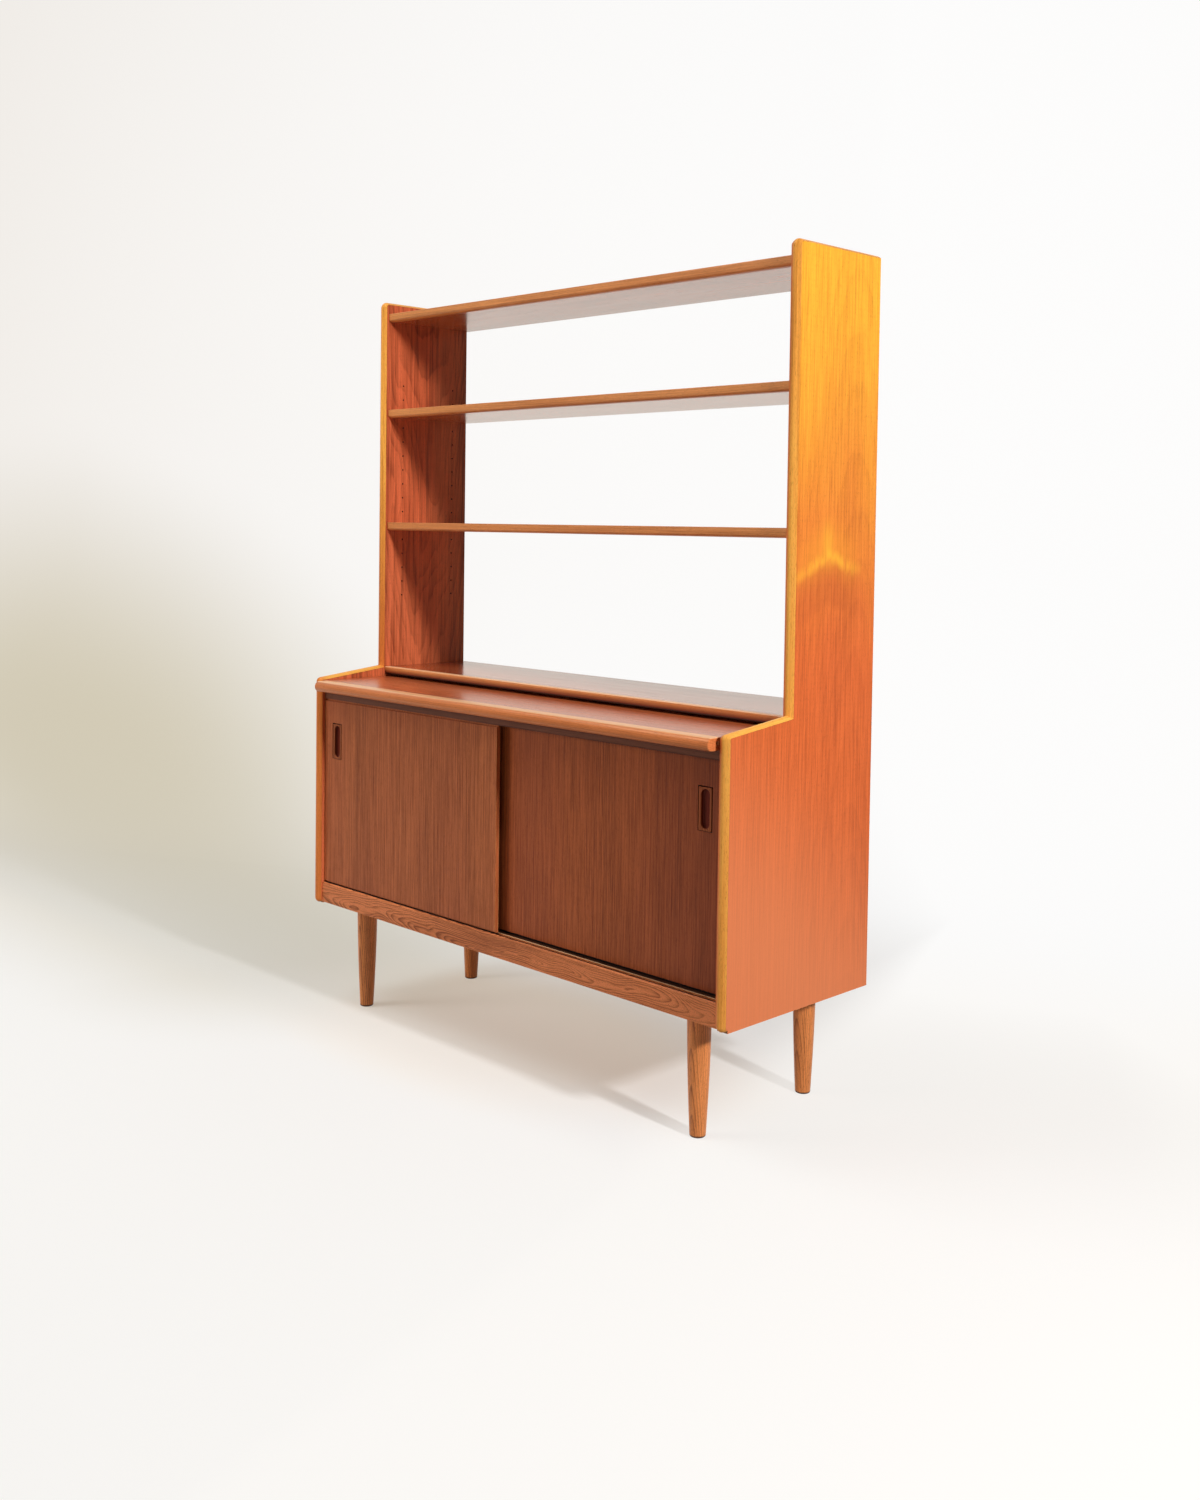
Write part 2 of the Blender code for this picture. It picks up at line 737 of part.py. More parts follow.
def soften_edges(obj, chosen, width, segments):
    """Rounds the edges whose two ends both pass the chosen test."""
    bm = bmesh.new()
    bm.from_mesh(obj.data)
    edges = [e for e in bm.edges if all(chosen(v.co) for v in e.verts)]
    bmesh.ops.bevel(
        bm,
        geom=edges,
        offset=width,
        segments=segments,
        profile=0.5,
        affect="EDGES",
        clamp_overlap=True,
    )
    bm.to_mesh(obj.data)
    bm.free()


def finger_pull(label, face, pull_x, carrier):
    """A solid block with an oblong finger slot, glued into the door."""
    front = face + PULL_SUNK
    back = face + DOOR_THICKNESS - GAP
    middle = pull_height()
    half_width = PULL_WIDTH / 2
    half_height = PULL_HEIGHT / 2
    block = box(
        "finger_pull_" + label,
        (pull_x - half_width, pull_x + half_width),
        (front, back),
        (middle - half_height, middle + half_height),
    )
    near = front + PULL_EDGE_ROUND / 2
    soften_edges(block, lambda place: place.y < near, PULL_EDGE_ROUND, 1)
    slot = pull_slot(label, front, pull_x, middle)
    cut(block, slot)
    ride(slot, carrier)
    shade_round(block.data)
    finish_part(block, DOOR_TEAK, 0.36)
    ride(block, carrier)


def pull_slot(label, front, pull_x, middle):
    """The slot's cutter: an oblong with a coved floor."""
    radius = PULL_SLOT_WIDTH / 2
    reach = PULL_SLOT_HEIGHT / 2 - radius
    outline = arc((0.0, reach), radius, 0, 180, PULL_ARC_STEPS)
    outline += arc((0.0, -reach), radius, 180, 360, PULL_ARC_STEPS)
    depth = PULL_SLOT_DEPTH + PULL_SUNK
    stand = Matrix.Rotation(math.pi / 2, 4, "X")
    centre_y = front - PULL_SUNK + depth / 2
    place = Matrix.Translation((pull_x, centre_y, middle)) @ stand
    slot = extruded("pull_slot_" + label, outline, depth, place)
    floor = -depth / 2 + PULL_FLOOR_COVE / 2
    soften_edges(slot, lambda spot: spot.z < floor, PULL_FLOOR_COVE, 2)
    return slot


# Desk leaf

def leaf_section():
    """The leaf from its side, with the tongue that the nose is glued to."""
    front = NOSE_BACK + GAP
    middle = (LEAF_UNDER + LEAF_TOP) / 2
    half = TONGUE_THICKNESS / 2
    tip = front - TONGUE_DEPTH
    return [
        (front, LEAF_UNDER),
        (LEAF_BACK, LEAF_UNDER),
        (LEAF_BACK, LEAF_TOP),
        (front, LEAF_TOP),
        (front, middle + half),
        (tip, middle + half),
        (tip, middle - half),
        (front, middle - half),
    ]


def nose_section():
    """The moulded front strip: a bold half-round over a flat underside."""
    top = LEAF_TOP + NOSE_RISE
    under = top - NOSE_HEIGHT
    centre = (NOSE_FRONT + NOSE_BULGE, (top + under) / 2)
    squash = NOSE_HEIGHT / 2 / NOSE_BULGE
    round_front = arc(centre, NOSE_BULGE, 90, 270, NOSE_STEPS, squash)
    middle = (LEAF_UNDER + LEAF_TOP) / 2
    half = TONGUE_THICKNESS / 2 + GAP
    groove_end = NOSE_BACK - TONGUE_DEPTH
    groove = [
        (NOSE_BACK, middle - half),
        (groove_end, middle - half),
        (groove_end, middle + half),
        (NOSE_BACK, middle + half),
    ]
    return round_front + [(NOSE_BACK, under)] + groove + [(NOSE_BACK, top)]


def desk_leaf():
    carrier = slide("desk_leaf_slide", (0.0, NOSE_FRONT, LEAF_UNDER))
    leaf = section_along_x("desk_leaf", leaf_section(), (-LEAF_END, LEAF_END))
    finish_part(leaf, VENEER)
    nose = section_along_x("desk_leaf_nose", nose_section(), (-NOSE_END, NOSE_END))
    shade_round(nose.data)
    finish_part(nose, LIGHT_TEAK, 0.34)
    stop_front = RAIL_BACK + LEAF_TRAVEL + GAP
    stop = box(
        "leaf_stop",
        (-STOP_WIDTH / 2, STOP_WIDTH / 2),
        (stop_front, stop_front + STOP_DEPTH),
        (CABINET_TOP_TOP + LEAF_RAIL_GAP, LEAF_UNDER - GAP),
    )
    finish_part(stop, BEECH, 0.5)
    for piece in (leaf, nose, stop):
        ride(piece, carrier)


def leaf_guides():
    """Runners under the leaf's sides and kickers over them."""
    for label, sign in SIDES:
        runner = box(
            "leaf_runner_" + label,
            sorted((sign * BOARD_END, sign * (BOARD_END - RUNNER_WIDTH))),
            (RAIL_BACK + GAP, BOARD_BACK),
            (CABINET_TOP_TOP + GAP, LEAF_UNDER - GAP),
        )
        finish_part(runner, BEECH, 0.5)
        kicker = box(
            "leaf_kicker_" + label,
            sorted((sign * BOARD_END, sign * (BOARD_END - KICKER_WIDTH))),
            (PLATFORM_FRONT + KICKER_SETBACK, BOARD_BACK),
            (LEAF_TOP + GAP, PLATFORM_UNDER - GAP),
        )
        finish_part(kicker, BEECH, 0.5)


# Legs, battens and the cabinet's inside

def leg_profile():
    """(radius, height) down the leg's outer side, from its tenon's top."""
    top = LEG_LENGTH
    tenon_top = top + TENON_LENGTH
    points = [(0.0, tenon_top), (TENON_RADIUS, tenon_top), (TENON_RADIUS, top)]
    stretches = 4
    for step in range(stretches + 1):
        share = step / stretches
        height = top - (top - LEG_FOOT_ROUND) * share
        straight = LEG_TOP_RADIUS + (LEG_FOOT_RADIUS - LEG_TOP_RADIUS) * share
        points.append((straight + LEG_SWELL * math.sin(math.pi * share), height))
    foot = LEG_FOOT_RADIUS - LEG_FOOT_ROUND
    points += arc((foot, LEG_FOOT_ROUND), LEG_FOOT_ROUND, -30, -90, 2)
    return points + [(0.0, 0.0)]


def turned(name, profile, place, steps):
    """A profile of (radius, height) points turned about the vertical."""
    mesh = bpy.data.meshes.new(name)
    edges = [(i, i + 1) for i in range(len(profile) - 1)]
    mesh.from_pydata([(r, 0.0, z) for r, z in profile], edges, [])
    obj = bpy.data.objects.new(name, mesh)
    bpy.context.scene.collection.objects.link(obj)
    obj.location = place
    screw = obj.modifiers.new("turn", "SCREW")
    screw.steps = steps
    screw.render_steps = steps
    screw.use_merge_vertices = True
    screw.merge_threshold = 0.00005
    screw.use_smooth_shade = True
    return obj


def leg_places():
    """(name, x, y) of the four legs."""
    ends = zip(("front", "back"), LEG_PLACES_Y)
    return [
        ("leg_" + end + "_" + label, sign * LEG_X, y)
        for end, y in ends
        for label, sign in SIDES
    ]


def legs():
    for name, x, y in leg_places():
        leg = turned(name, leg_profile(), (x, y, 0.0), LEG_STEPS)
        finish_part(leg, LIGHT_TEAK, 0.40)


def batten_screw_places(sign):
    front, back = LEG_PLACES_Y
    low = front + BATTEN_SCREW_INSET
    high = back - BATTEN_SCREW_INSET
    count = BATTEN_SCREWS
    along = [low + (high - low) * i / (count - 1) for i in range(count)]
    return [(sign * LEG_X, y) for y in along]


def leg_battens():
    """One batten a side, under the cabinet, bored for the legs' tenons."""
    front = RAIL_BACK + GAP
    for label, sign in SIDES:
        middle = sign * LEG_X
        half = BATTEN_WIDTH / 2
        batten = box(
            "leg_batten_" + label,
            (middle - half, middle + half),
            (front, BOARD_BACK - BATTEN_BACK_INSET),
            (BATTEN_BOTTOM, BATTEN_TOP),
        )
        cut(batten, tenon_holes(label, middle))
        cut(batten, batten_screw_drilling("batten_screw_holes_" + label, sign))
        finish_part(batten, BEECH, 0.55)


def tenon_holes(label, middle):
    """Round holes of the legs' own facets, a clearance wider."""
    bm = bmesh.new()
    top = LEG_LENGTH + TENON_LENGTH + GAP
    bottom = BATTEN_BOTTOM - GAP
    for y in LEG_PLACES_Y:
        bmesh.ops.create_cone(
            bm,
            cap_ends=True,
            segments=LEG_STEPS,
            radius1=TENON_RADIUS + TENON_CLEARANCE,
            radius2=TENON_RADIUS + TENON_CLEARANCE,
            depth=top - bottom,
            matrix=Matrix.Translation((middle, y, (top + bottom) / 2)),
        )
    return object_from_bmesh("tenon_holes_" + label, bm)


def batten_screw_drilling(name, sign):
    low = BATTEN_BOTTOM - GAP
    high = CABINET_BOTTOM_UNDER + SCREW_BITE + GAP
    ends = [((x, y, low), (x, y, high)) for x, y in batten_screw_places(sign)]
    return rods(name, ends, SCREW_RADIUS + GAP)


def screw_profile(length):
    """(radius, height) from the tip above down to the low round head."""
    squash = SCREW_HEAD_HEIGHT / SCREW_HEAD_RADIUS
    head = arc((0.0, -GAP), SCREW_HEAD_RADIUS, 0, -90, SCREW_HEAD_STEPS, squash)
    shank = [(0.0, length), (SCREW_RADIUS, length), (SCREW_RADIUS, -GAP)]
    return shank + head[:-1] + [(0.0, -GAP - SCREW_HEAD_HEIGHT)]


def screw(name, seat, length):
    obj = turned(name, screw_profile(length), seat, ROUND_STEPS)
    return finish_part(obj, BRASS, 0.35, 1.0)


def batten_screws():
    length = BATTEN_THICKNESS + GAP + SCREW_BITE
    for label, sign in SIDES:
        for number, (x, y) in enumerate(batten_screw_places(sign), 1):
            name = "batten_screw_{}_{}".format(label, number)
            screw(name, (x, y, BATTEN_BOTTOM), length)


def back_screw_drilling(name, sign):
    x = sign * (INNER + BACK_REBATE_WIDTH / 2)
    tip = BACK_PANEL_FRONT - SCREW_BITE - GAP
    ends = [((x, tip, z), (x, BACK + GAP, z)) for z in back_screw_heights()]
    return rods(name, ends, SCREW_RADIUS + GAP)


def cabinet_back():
    """A thin panel in the sides' rebates, screwed on from behind."""
    reach = INNER + BACK_REBATE_WIDTH - GAP
    rear = BACK_PANEL_FRONT + BACK_PANEL
    panel = box(
        "cabinet_back",
        (-reach, reach),
        (BACK_PANEL_FRONT, rear),
        (CABINET_BOTTOM_UNDER, PLATFORM_UNDER - GAP),
    )
    for label, sign in SIDES:
        cut(panel, back_screw_drilling("cabinet_back_holes_" + label, sign))
        for number, height in enumerate(back_screw_heights(), 1):
            name = "back_screw_{}_{}".format(label, number)
            place = (sign * (INNER + BACK_REBATE_WIDTH / 2), rear, height)
            obj = screw(name, place, BACK_PANEL + SCREW_BITE)
            obj.rotation_euler = (math.pi / 2, 0.0, 0.0)
    finish_part(panel, PLYWOOD, 0.6)


def cabinet_inside():
    """A fixed divider with one adjustable shelf to each side of it."""
    half = DIVIDER_THICKNESS / 2
    front = RAIL_BACK + DIVIDER_SETBACK
    divider = box(
        "centre_divider",
        (-half, half),
        (front, BOARD_BACK),
        (CABINET_FLOOR + GAP, UPPER_RAIL_UNDER - GAP),
    )
    reach = half + GAP
    ends = [((-reach, y, z), (reach, y, z)) for y, z in inner_holes()]
    cut(divider, rods("divider_holes", ends, HOLE_RADIUS))
    finish_part(divider, VENEER)
    for label, sign in SIDES:
        inner_shelf(label, sign, half)


def inner_shelf(label, sign, half):
    """An adjustable shelf from the divider to the side, on two wires."""
    height = inner_hole_height(INNER_HOLE_ROW_USED)
    under = height - WIRE_ABOVE_UNDERSIDE
    front = RAIL_BACK + DIVIDER_SETBACK + INNER_SHELF_SETBACK
    back = BOARD_BACK - INNER_SHELF_BACK_GAP
    near = sign * (half + GAP)
    far = sign * BOARD_END
    name = "inner_shelf_" + label
    shelf = box(
        name,
        sorted((near, far)),
        (front, back),
        (under, under + INNER_SHELF_THICKNESS),
    )
    ends = (("outer", sign * INNER, -sign), ("inner", sign * half, sign))
    for end, face, inwards in ends:
        groove = name + "_groove_" + end
        cut(shelf, wire_groove(groove, face, inwards, INNER_COLUMNS[0], height, back))
        shelf_wire(name + "_wire_" + end, face, inwards, INNER_COLUMNS, height)
    finish_part(shelf, VENEER)


def fixed_boards():
    top_under = TOP_SHELF_TOP - SHELF_THICKNESS
    lipped_board("top_shelf", SHELF_FRONT, top_under, TOP_SHELF_TOP)
    lipped_board("platform", PLATFORM_FRONT, PLATFORM_UNDER, PLATFORM_TOP)
    front = RAIL_BACK + GAP
    fixed_board("cabinet_top", front, BOARD_BACK, UPPER_RAIL_UNDER, CABINET_TOP_TOP)
    bottom = fixed_board(
        "cabinet_bottom", front, BOARD_BACK, CABINET_BOTTOM_UNDER, CABINET_FLOOR
    )
    for label, sign in SIDES:
        cut(bottom, batten_screw_drilling("cabinet_bottom_screw_holes_" + label, sign))


def doors():
    """The left door in the front track, the right one in the rear track."""
    left = slide("door_left_slide", (-DOOR_REACH, FRONT_DOOR_FACE, CABINET_FLOOR))
    left_range = (-DOOR_REACH, -DOOR_REACH + DOOR_WIDTH)
    pull_x = left_range[0] + PULL_INSET
    sliding_door("left", FRONT_DOOR_FACE, left_range, pull_x, left)
    finger_pull("left", FRONT_DOOR_FACE, pull_x, left)
    edge = DOOR_REACH - RIGHT_DOOR_AJAR
    right = slide("door_right_slide", (edge, REAR_DOOR_FACE, CABINET_FLOOR))
    right_range = (edge - DOOR_WIDTH, edge)
    pull_x = edge - PULL_INSET
    sliding_door("right", REAR_DOOR_FACE, right_range, pull_x, right)
    finger_pull("right", REAR_DOOR_FACE, pull_x, right)


def build():
    for label, sign in SIDES:
        side_board(label, sign)
        side_strip(label, sign)
    fixed_boards()
    adjustable_shelf("lower_shelf", LOWER_SHELF_HOLE)
    adjustable_shelf("upper_shelf", UPPER_SHELF_HOLE)
    door_rail("bottom_rail", BOTTOM_RAIL_FRONT, BOTTOM_RAIL_UNDER, CABINET_FLOOR, True)
    door_rail("upper_rail", UPPER_RAIL_FRONT, UPPER_RAIL_UNDER, UPPER_RAIL_TOP, False)
    doors()
    desk_leaf()
    leaf_guides()
    legs()
    leg_battens()
    batten_screws()
    cabinet_back()
    cabinet_inside()


build()
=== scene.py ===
# %% [markdown]
# # A teak bookcase with a desk leaf
#
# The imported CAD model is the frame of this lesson. It has the right size and the
# right joints, but flat colours and plain edges. This script keeps it as it is,
# gives each board a wood of its own, and puts smoother surfaces in the place of
# the moulded and turned pieces. Everything is in metres, with the origin on the
# floor under the middle of the bookcase, and the front towards -Y.

# %% Load the frame
import math
from functools import partialmethod

import bmesh
import bpy
import numpy as np
from mathutils import Matrix, Vector


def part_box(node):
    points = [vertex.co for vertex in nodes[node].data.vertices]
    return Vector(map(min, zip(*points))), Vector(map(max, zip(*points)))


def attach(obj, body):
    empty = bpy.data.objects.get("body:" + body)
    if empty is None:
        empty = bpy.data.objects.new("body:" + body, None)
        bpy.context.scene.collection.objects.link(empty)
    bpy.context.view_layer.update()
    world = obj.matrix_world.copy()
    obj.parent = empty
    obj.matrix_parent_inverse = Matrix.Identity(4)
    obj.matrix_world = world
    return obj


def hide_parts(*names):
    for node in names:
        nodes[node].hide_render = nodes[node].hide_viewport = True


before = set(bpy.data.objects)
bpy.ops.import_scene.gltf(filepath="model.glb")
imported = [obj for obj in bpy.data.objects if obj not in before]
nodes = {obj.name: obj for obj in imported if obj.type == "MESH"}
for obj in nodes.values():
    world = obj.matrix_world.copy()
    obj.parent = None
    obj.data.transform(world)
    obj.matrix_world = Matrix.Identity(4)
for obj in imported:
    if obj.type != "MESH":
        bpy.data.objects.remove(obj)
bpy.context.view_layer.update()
scene = bpy.context.scene
scene.view_settings.view_transform = "Standard"

# %% [markdown]
# ## Camera
#
# The camera looks slightly down at the right front corner. Its place and direction
# were solved from the furniture's straight edges. The picture's middle lies below
# the optical axis, so the lens is shifted and uprights stay upright.

# %% Place the camera
PICTURE_HEIGHT = 1500
FOCAL_PIXELS = 1503.2
AXIS_ROW = 580.4
SENSOR = 36.0
CAMERA_PLACE = (2.2025, -2.0984, 1.0713)
CAMERA_RIGHT = (0.70573, 0.70835, 0.01360)
CAMERA_UP = (-0.03585, 0.01654, 0.99922)
CAMERA_BACK = (0.70757, -0.70567, 0.03707)

lens = bpy.data.cameras.new("photo_camera")
lens.sensor_width = SENSOR
lens.lens = FOCAL_PIXELS * SENSOR / PICTURE_HEIGHT
lens.shift_y = (AXIS_ROW - PICTURE_HEIGHT / 2) / PICTURE_HEIGHT
camera = bpy.data.objects.new("photo_camera", lens)
turn = Matrix((CAMERA_RIGHT, CAMERA_UP, CAMERA_BACK)).transposed().to_4x4()
camera.matrix_world = Matrix.Translation(CAMERA_PLACE) @ turn
scene.collection.objects.link(camera)
scene.camera = camera
print("lens", round(lens.lens, 2), "mm, shift", round(lens.shift_y, 4))

# %% [markdown]
# ## Colours and node recipes
#
# A colour written as three numbers up to 255 is in sRGB, and Blender's shaders
# work in linear light, so it is converted here. The class below adds nodes to a
# tree and hands back the socket to use next, so that a recipe reads like a sum.

# %% Convert a written colour
def paint(red, green, blue):
    """sRGB numbers up to 255 as a linear colour: ((c + 0.055) / 1.055) to the power 2.4."""
    share = np.array([red, green, blue]) / 255
    low = share / 12.92
    high = ((share + 0.055) / 1.055) ** 2.4
    return (*np.where(share < 0.04045, low, high).tolist(), 1.0)


# %% A helper that writes node trees
class Recipe:
    """Adds nodes to one tree. Each step gives the socket that holds its result."""

    def __init__(self, tree):
        self.tree = tree

    def feed(self, socket, value):
        if isinstance(value, bpy.types.NodeSocket):
            self.tree.links.new(value, socket)
        else:
            socket.default_value = value

    def node(self, kind, inputs=(), **settings):
        made = self.tree.nodes.new("ShaderNode" + kind)
        for key, value in settings.items():
            setattr(made, key, value)
        for key, value in dict(inputs).items():
            self.feed(made.inputs[key], value)
        return made

    def math(self, operation, *values, clamp=False):
        made = self.node("Math", operation=operation, use_clamp=clamp)
        for socket, value in zip(made.inputs, values):
            self.feed(socket, value)
        return made.outputs[0]

    # Short names for the sums that come up most.
    add = partialmethod(math, "ADD")
    sub = partialmethod(math, "SUBTRACT")
    mul = partialmethod(math, "MULTIPLY")
    mad = partialmethod(math, "MULTIPLY_ADD")
    least = partialmethod(math, "MINIMUM")
    most = partialmethod(math, "MAXIMUM")
    size = partialmethod(math, "ABSOLUTE")

    def flip(self, value):
        """1 where the value is 0, and 0 where it is 1."""
        return self.sub(1.0, value)

    def vector(self, operation, *values):
        made = self.node("VectorMath", operation=operation)
        for socket, value in zip(made.inputs, values):
            self.feed(socket, value)
        return made.outputs["Value" if operation == "LENGTH" else "Vector"]

    def dot(self, place, way):
        return self.node("VectorMath", {0: place, 1: way}, operation="DOT_PRODUCT").outputs["Value"]

    def noise(self, place, scale, detail=2.0, roughness=0.5):
        inputs = {"Vector": place, "Scale": scale, "Detail": detail, "Roughness": roughness}
        return self.node("TexNoise", inputs).outputs["Fac"]

    def drawn_out(self, place, stretch, detail=2.0, roughness=0.5):
        """Noise with its own scale along each axis; a low number draws it out."""
        return self.noise(self.vector("MULTIPLY", place, stretch), 1.0, detail, roughness)

    def smooth(self, value, low, high):
        """0 below low, 1 above high, and a soft step between."""
        inputs = {"Value": value, "From Min": low, "From Max": high}
        made = self.node("MapRange", inputs, interpolation_type="SMOOTHSTEP")
        return made.outputs["Result"]

    def fade(self, value, low, high):
        """1 below low, 0 above high, and a soft step between."""
        return self.flip(self.smooth(value, low, high))

    def blend(self, share, first, second):
        """The first colour where the share is 0, and the second where it is 1."""
        made = self.node("Mix", data_type="RGBA", clamp_factor=True)
        for index, value in ((0, share), (6, first), (7, second)):
            self.feed(made.inputs[index], value)
        return made.outputs[2]

    def ramp(self, value, stops):
        """A colour ramp through (place, colour) stops."""
        stops = list(stops)
        made = self.node("ValToRGB")
        band = made.color_ramp
        while len(band.elements) < len(stops):
            band.elements.new(0.5)
        for element, (place, colour) in zip(band.elements, stops):
            element.position = place
            element.color = colour
        self.feed(made.inputs[0], value)
        return made.outputs["Color"]

    def split(self, vector):
        return self.node("SeparateXYZ", {"Vector": vector}).outputs

    def group(self, tree, inputs):
        return self.node("Group", inputs, node_tree=tree).outputs

    def join(self, x, y, z):
        return self.node("CombineXYZ", {"X": x, "Y": y, "Z": z}).outputs[0]


# %% A helper that starts a node group
def new_group(name, inputs, outputs):
    """A node group. Each input has a default: a number, or three for a vector."""
    group = bpy.data.node_groups.new(name, "ShaderNodeTree")
    for label, default in inputs.items():
        kind = "NodeSocketVector" if isinstance(default, tuple) else "NodeSocketFloat"
        socket = group.interface.new_socket(name=label, in_out="INPUT", socket_type=kind)
        socket.default_value = default
    for label in outputs:
        group.interface.new_socket(name=label, in_out="OUTPUT", socket_type="NodeSocketFloat")
    start = group.nodes.new("NodeGroupInput").outputs
    end = group.nodes.new("NodeGroupOutput").inputs
    print("group", name)
    return Recipe(group), start, end


# %% [markdown]
# ## The figure of the wood
#
# A plank's pattern is a cut through the tree's yearly rings. A ring is a tube
# around the pith, so its colour depends on the distance from a line. Where a
# board is cut near that line, the rings show as arches, and where it is cut far
# off, as straight stripes. One group makes both: it measures the distance from
# a leaning pith, bends the measure with slow noise, and repeats it once a ring.
# Each ring darkens slowly and ends at once, as late wood does.

# %% Group: growth rings
ORIGIN = (0.0, 0.0, 0.0)
recipe, given, result = new_group("Growth rings", {
    "Place": ORIGIN, "Ring Width": 0.004, "Pith Side": 0.0, "Pith Depth": 0.06, "Lean": 0.04,
    "Wobble": 0.02, "Sharpness": 2.2,
}, ("Rings", "Years"))
place = given["Place"]
slow = recipe.drawn_out(place, (5.0, 5.0, 1.3), 2.0)
slow = recipe.mul(recipe.sub(slow, 0.5), given["Wobble"])
quick = recipe.drawn_out(place, (22.0, 22.0, 4.5), 2.0)
quick = recipe.mul(recipe.sub(quick, 0.5), given["Wobble"])
across, deep, along = recipe.split(place)
side = recipe.add(across, given["Pith Side"])
side = recipe.add(side, recipe.mul(slow, 2.0))
depth = recipe.mad(along, given["Lean"], given["Pith Depth"])
depth = recipe.add(recipe.add(depth, deep), slow)
depth = recipe.mad(quick, 0.22, depth)
radius = recipe.vector("LENGTH", recipe.join(side, depth, 0.0))
uneven = recipe.noise(recipe.join(recipe.mul(radius, 55.0), 0.3, 0.7), 1.0, 3.0)
years = recipe.math("DIVIDE", radius, given["Ring Width"])
years = recipe.mad(uneven, 3.5, years)
phase = recipe.math("FRACT", years)
rise = recipe.math("POWER", phase, given["Sharpness"])
fall = recipe.fade(phase, 0.86, 1.0)
recipe.feed(result["Rings"], recipe.mul(rise, fall))
recipe.feed(result["Years"], recipe.smooth(uneven, 0.30, 0.70))
rings_group = recipe.tree

# %% [markdown]
# ## Fibres and pores
#
# Between the rings, teak shows fine stripes of fibres, and short dark dashes
# where its pores are cut open. Both are noise that is drawn out along the grain,
# and the dashes have a threshold. A pore is a small groove, so a height for the
# bump comes out too.

# %% Group: fibres and pores
recipe, given, result = new_group(
    "Fibres and pores", {"Place": ORIGIN, "Fineness": 1.0}, ("Fibres", "Pores", "Height"))
place = recipe.vector("MULTIPLY", given["Place"], (1.0, 1.0, 0.016))
coarse = recipe.noise(place, recipe.mul(given["Fineness"], 260.0), 3.0, 0.6)
fine = recipe.noise(place, recipe.mul(given["Fineness"], 1050.0), 2.0, 0.6)
both = recipe.mad(coarse, 0.62, recipe.mul(fine, 0.38))
fibres = recipe.smooth(both, 0.33, 0.67)
dash_place = recipe.vector("MULTIPLY", given["Place"], (1.0, 1.0, 0.050))
dashes = recipe.noise(dash_place, 2300.0, 1.0)
clusters = recipe.noise(recipe.vector("MULTIPLY", given["Place"], (1.0, 1.0, 0.03)), 330.0, 1.0)
threshold = recipe.mad(clusters, -0.16, 0.70)
pores = recipe.smooth(recipe.sub(dashes, threshold), 0.0, 0.07)
recipe.feed(result["Fibres"], fibres)
recipe.feed(result["Pores"], pores)
recipe.feed(result["Height"], recipe.mad(fibres, 0.22, recipe.flip(pores)))
fibres_group = recipe.tree

# %% [markdown]
# ## Tone, sheen and wear
#
# No board is one colour from end to end. Slow noise gives broad bands that run
# with the grain, and a weaker noise across it gives the silky cross sheen of
# lacquered teak. Corners and edges that hands have rubbed are paler: the wear
# group measures the distance from a board's nearest arris.

# %% Group: broad tone
recipe, given, result = new_group(
    "Broad tone", {"Place": ORIGIN}, ("Tone", "Streaks", "Hue", "Sheen"))
place = given["Place"]
tone = recipe.drawn_out(place, (13.0, 13.0, 0.9), 3.0)
streaks = recipe.drawn_out(place, (85.0, 85.0, 3.2), 3.0, 0.6)
hue = recipe.drawn_out(place, (6.0, 6.0, 0.7), 2.0)
sheen = recipe.drawn_out(place, (30.0, 30.0, 70.0), 2.0)
recipe.feed(result["Tone"], recipe.smooth(tone, 0.28, 0.72))
recipe.feed(result["Streaks"], recipe.smooth(streaks, 0.30, 0.70))
recipe.feed(result["Hue"], recipe.smooth(hue, 0.30, 0.70))
recipe.feed(result["Sheen"], sheen)
tone_group = recipe.tree

# %% Group: rubbed edges
recipe, given, result = new_group("Rubbed edges", {
    "Place": ORIGIN, "Low": (-1.0, -1.0, -1.0), "High": (1.0, 1.0, 1.0), "Reach": 0.0025,
}, ("Wear",))
to_low = recipe.vector("SUBTRACT", given["Place"], given["Low"])
to_high = recipe.vector("SUBTRACT", given["High"], given["Place"])
x, y, z = recipe.split(recipe.vector("MINIMUM", to_low, to_high))
least = recipe.least(recipe.least(x, y), z)
most = recipe.most(recipe.most(x, y), z)
total = recipe.add(recipe.add(x, y), z)
second = recipe.sub(recipe.sub(total, least), most)
patchy = recipe.noise(given["Place"], 38.0, 4.0, 0.65)
reach = recipe.mul(given["Reach"], recipe.smooth(patchy, 0.30, 0.75))
share = recipe.math("DIVIDE", second, recipe.add(reach, 0.0001))
recipe.feed(result["Wear"], recipe.fade(share, 0.2, 1.0))
wear_group = recipe.tree
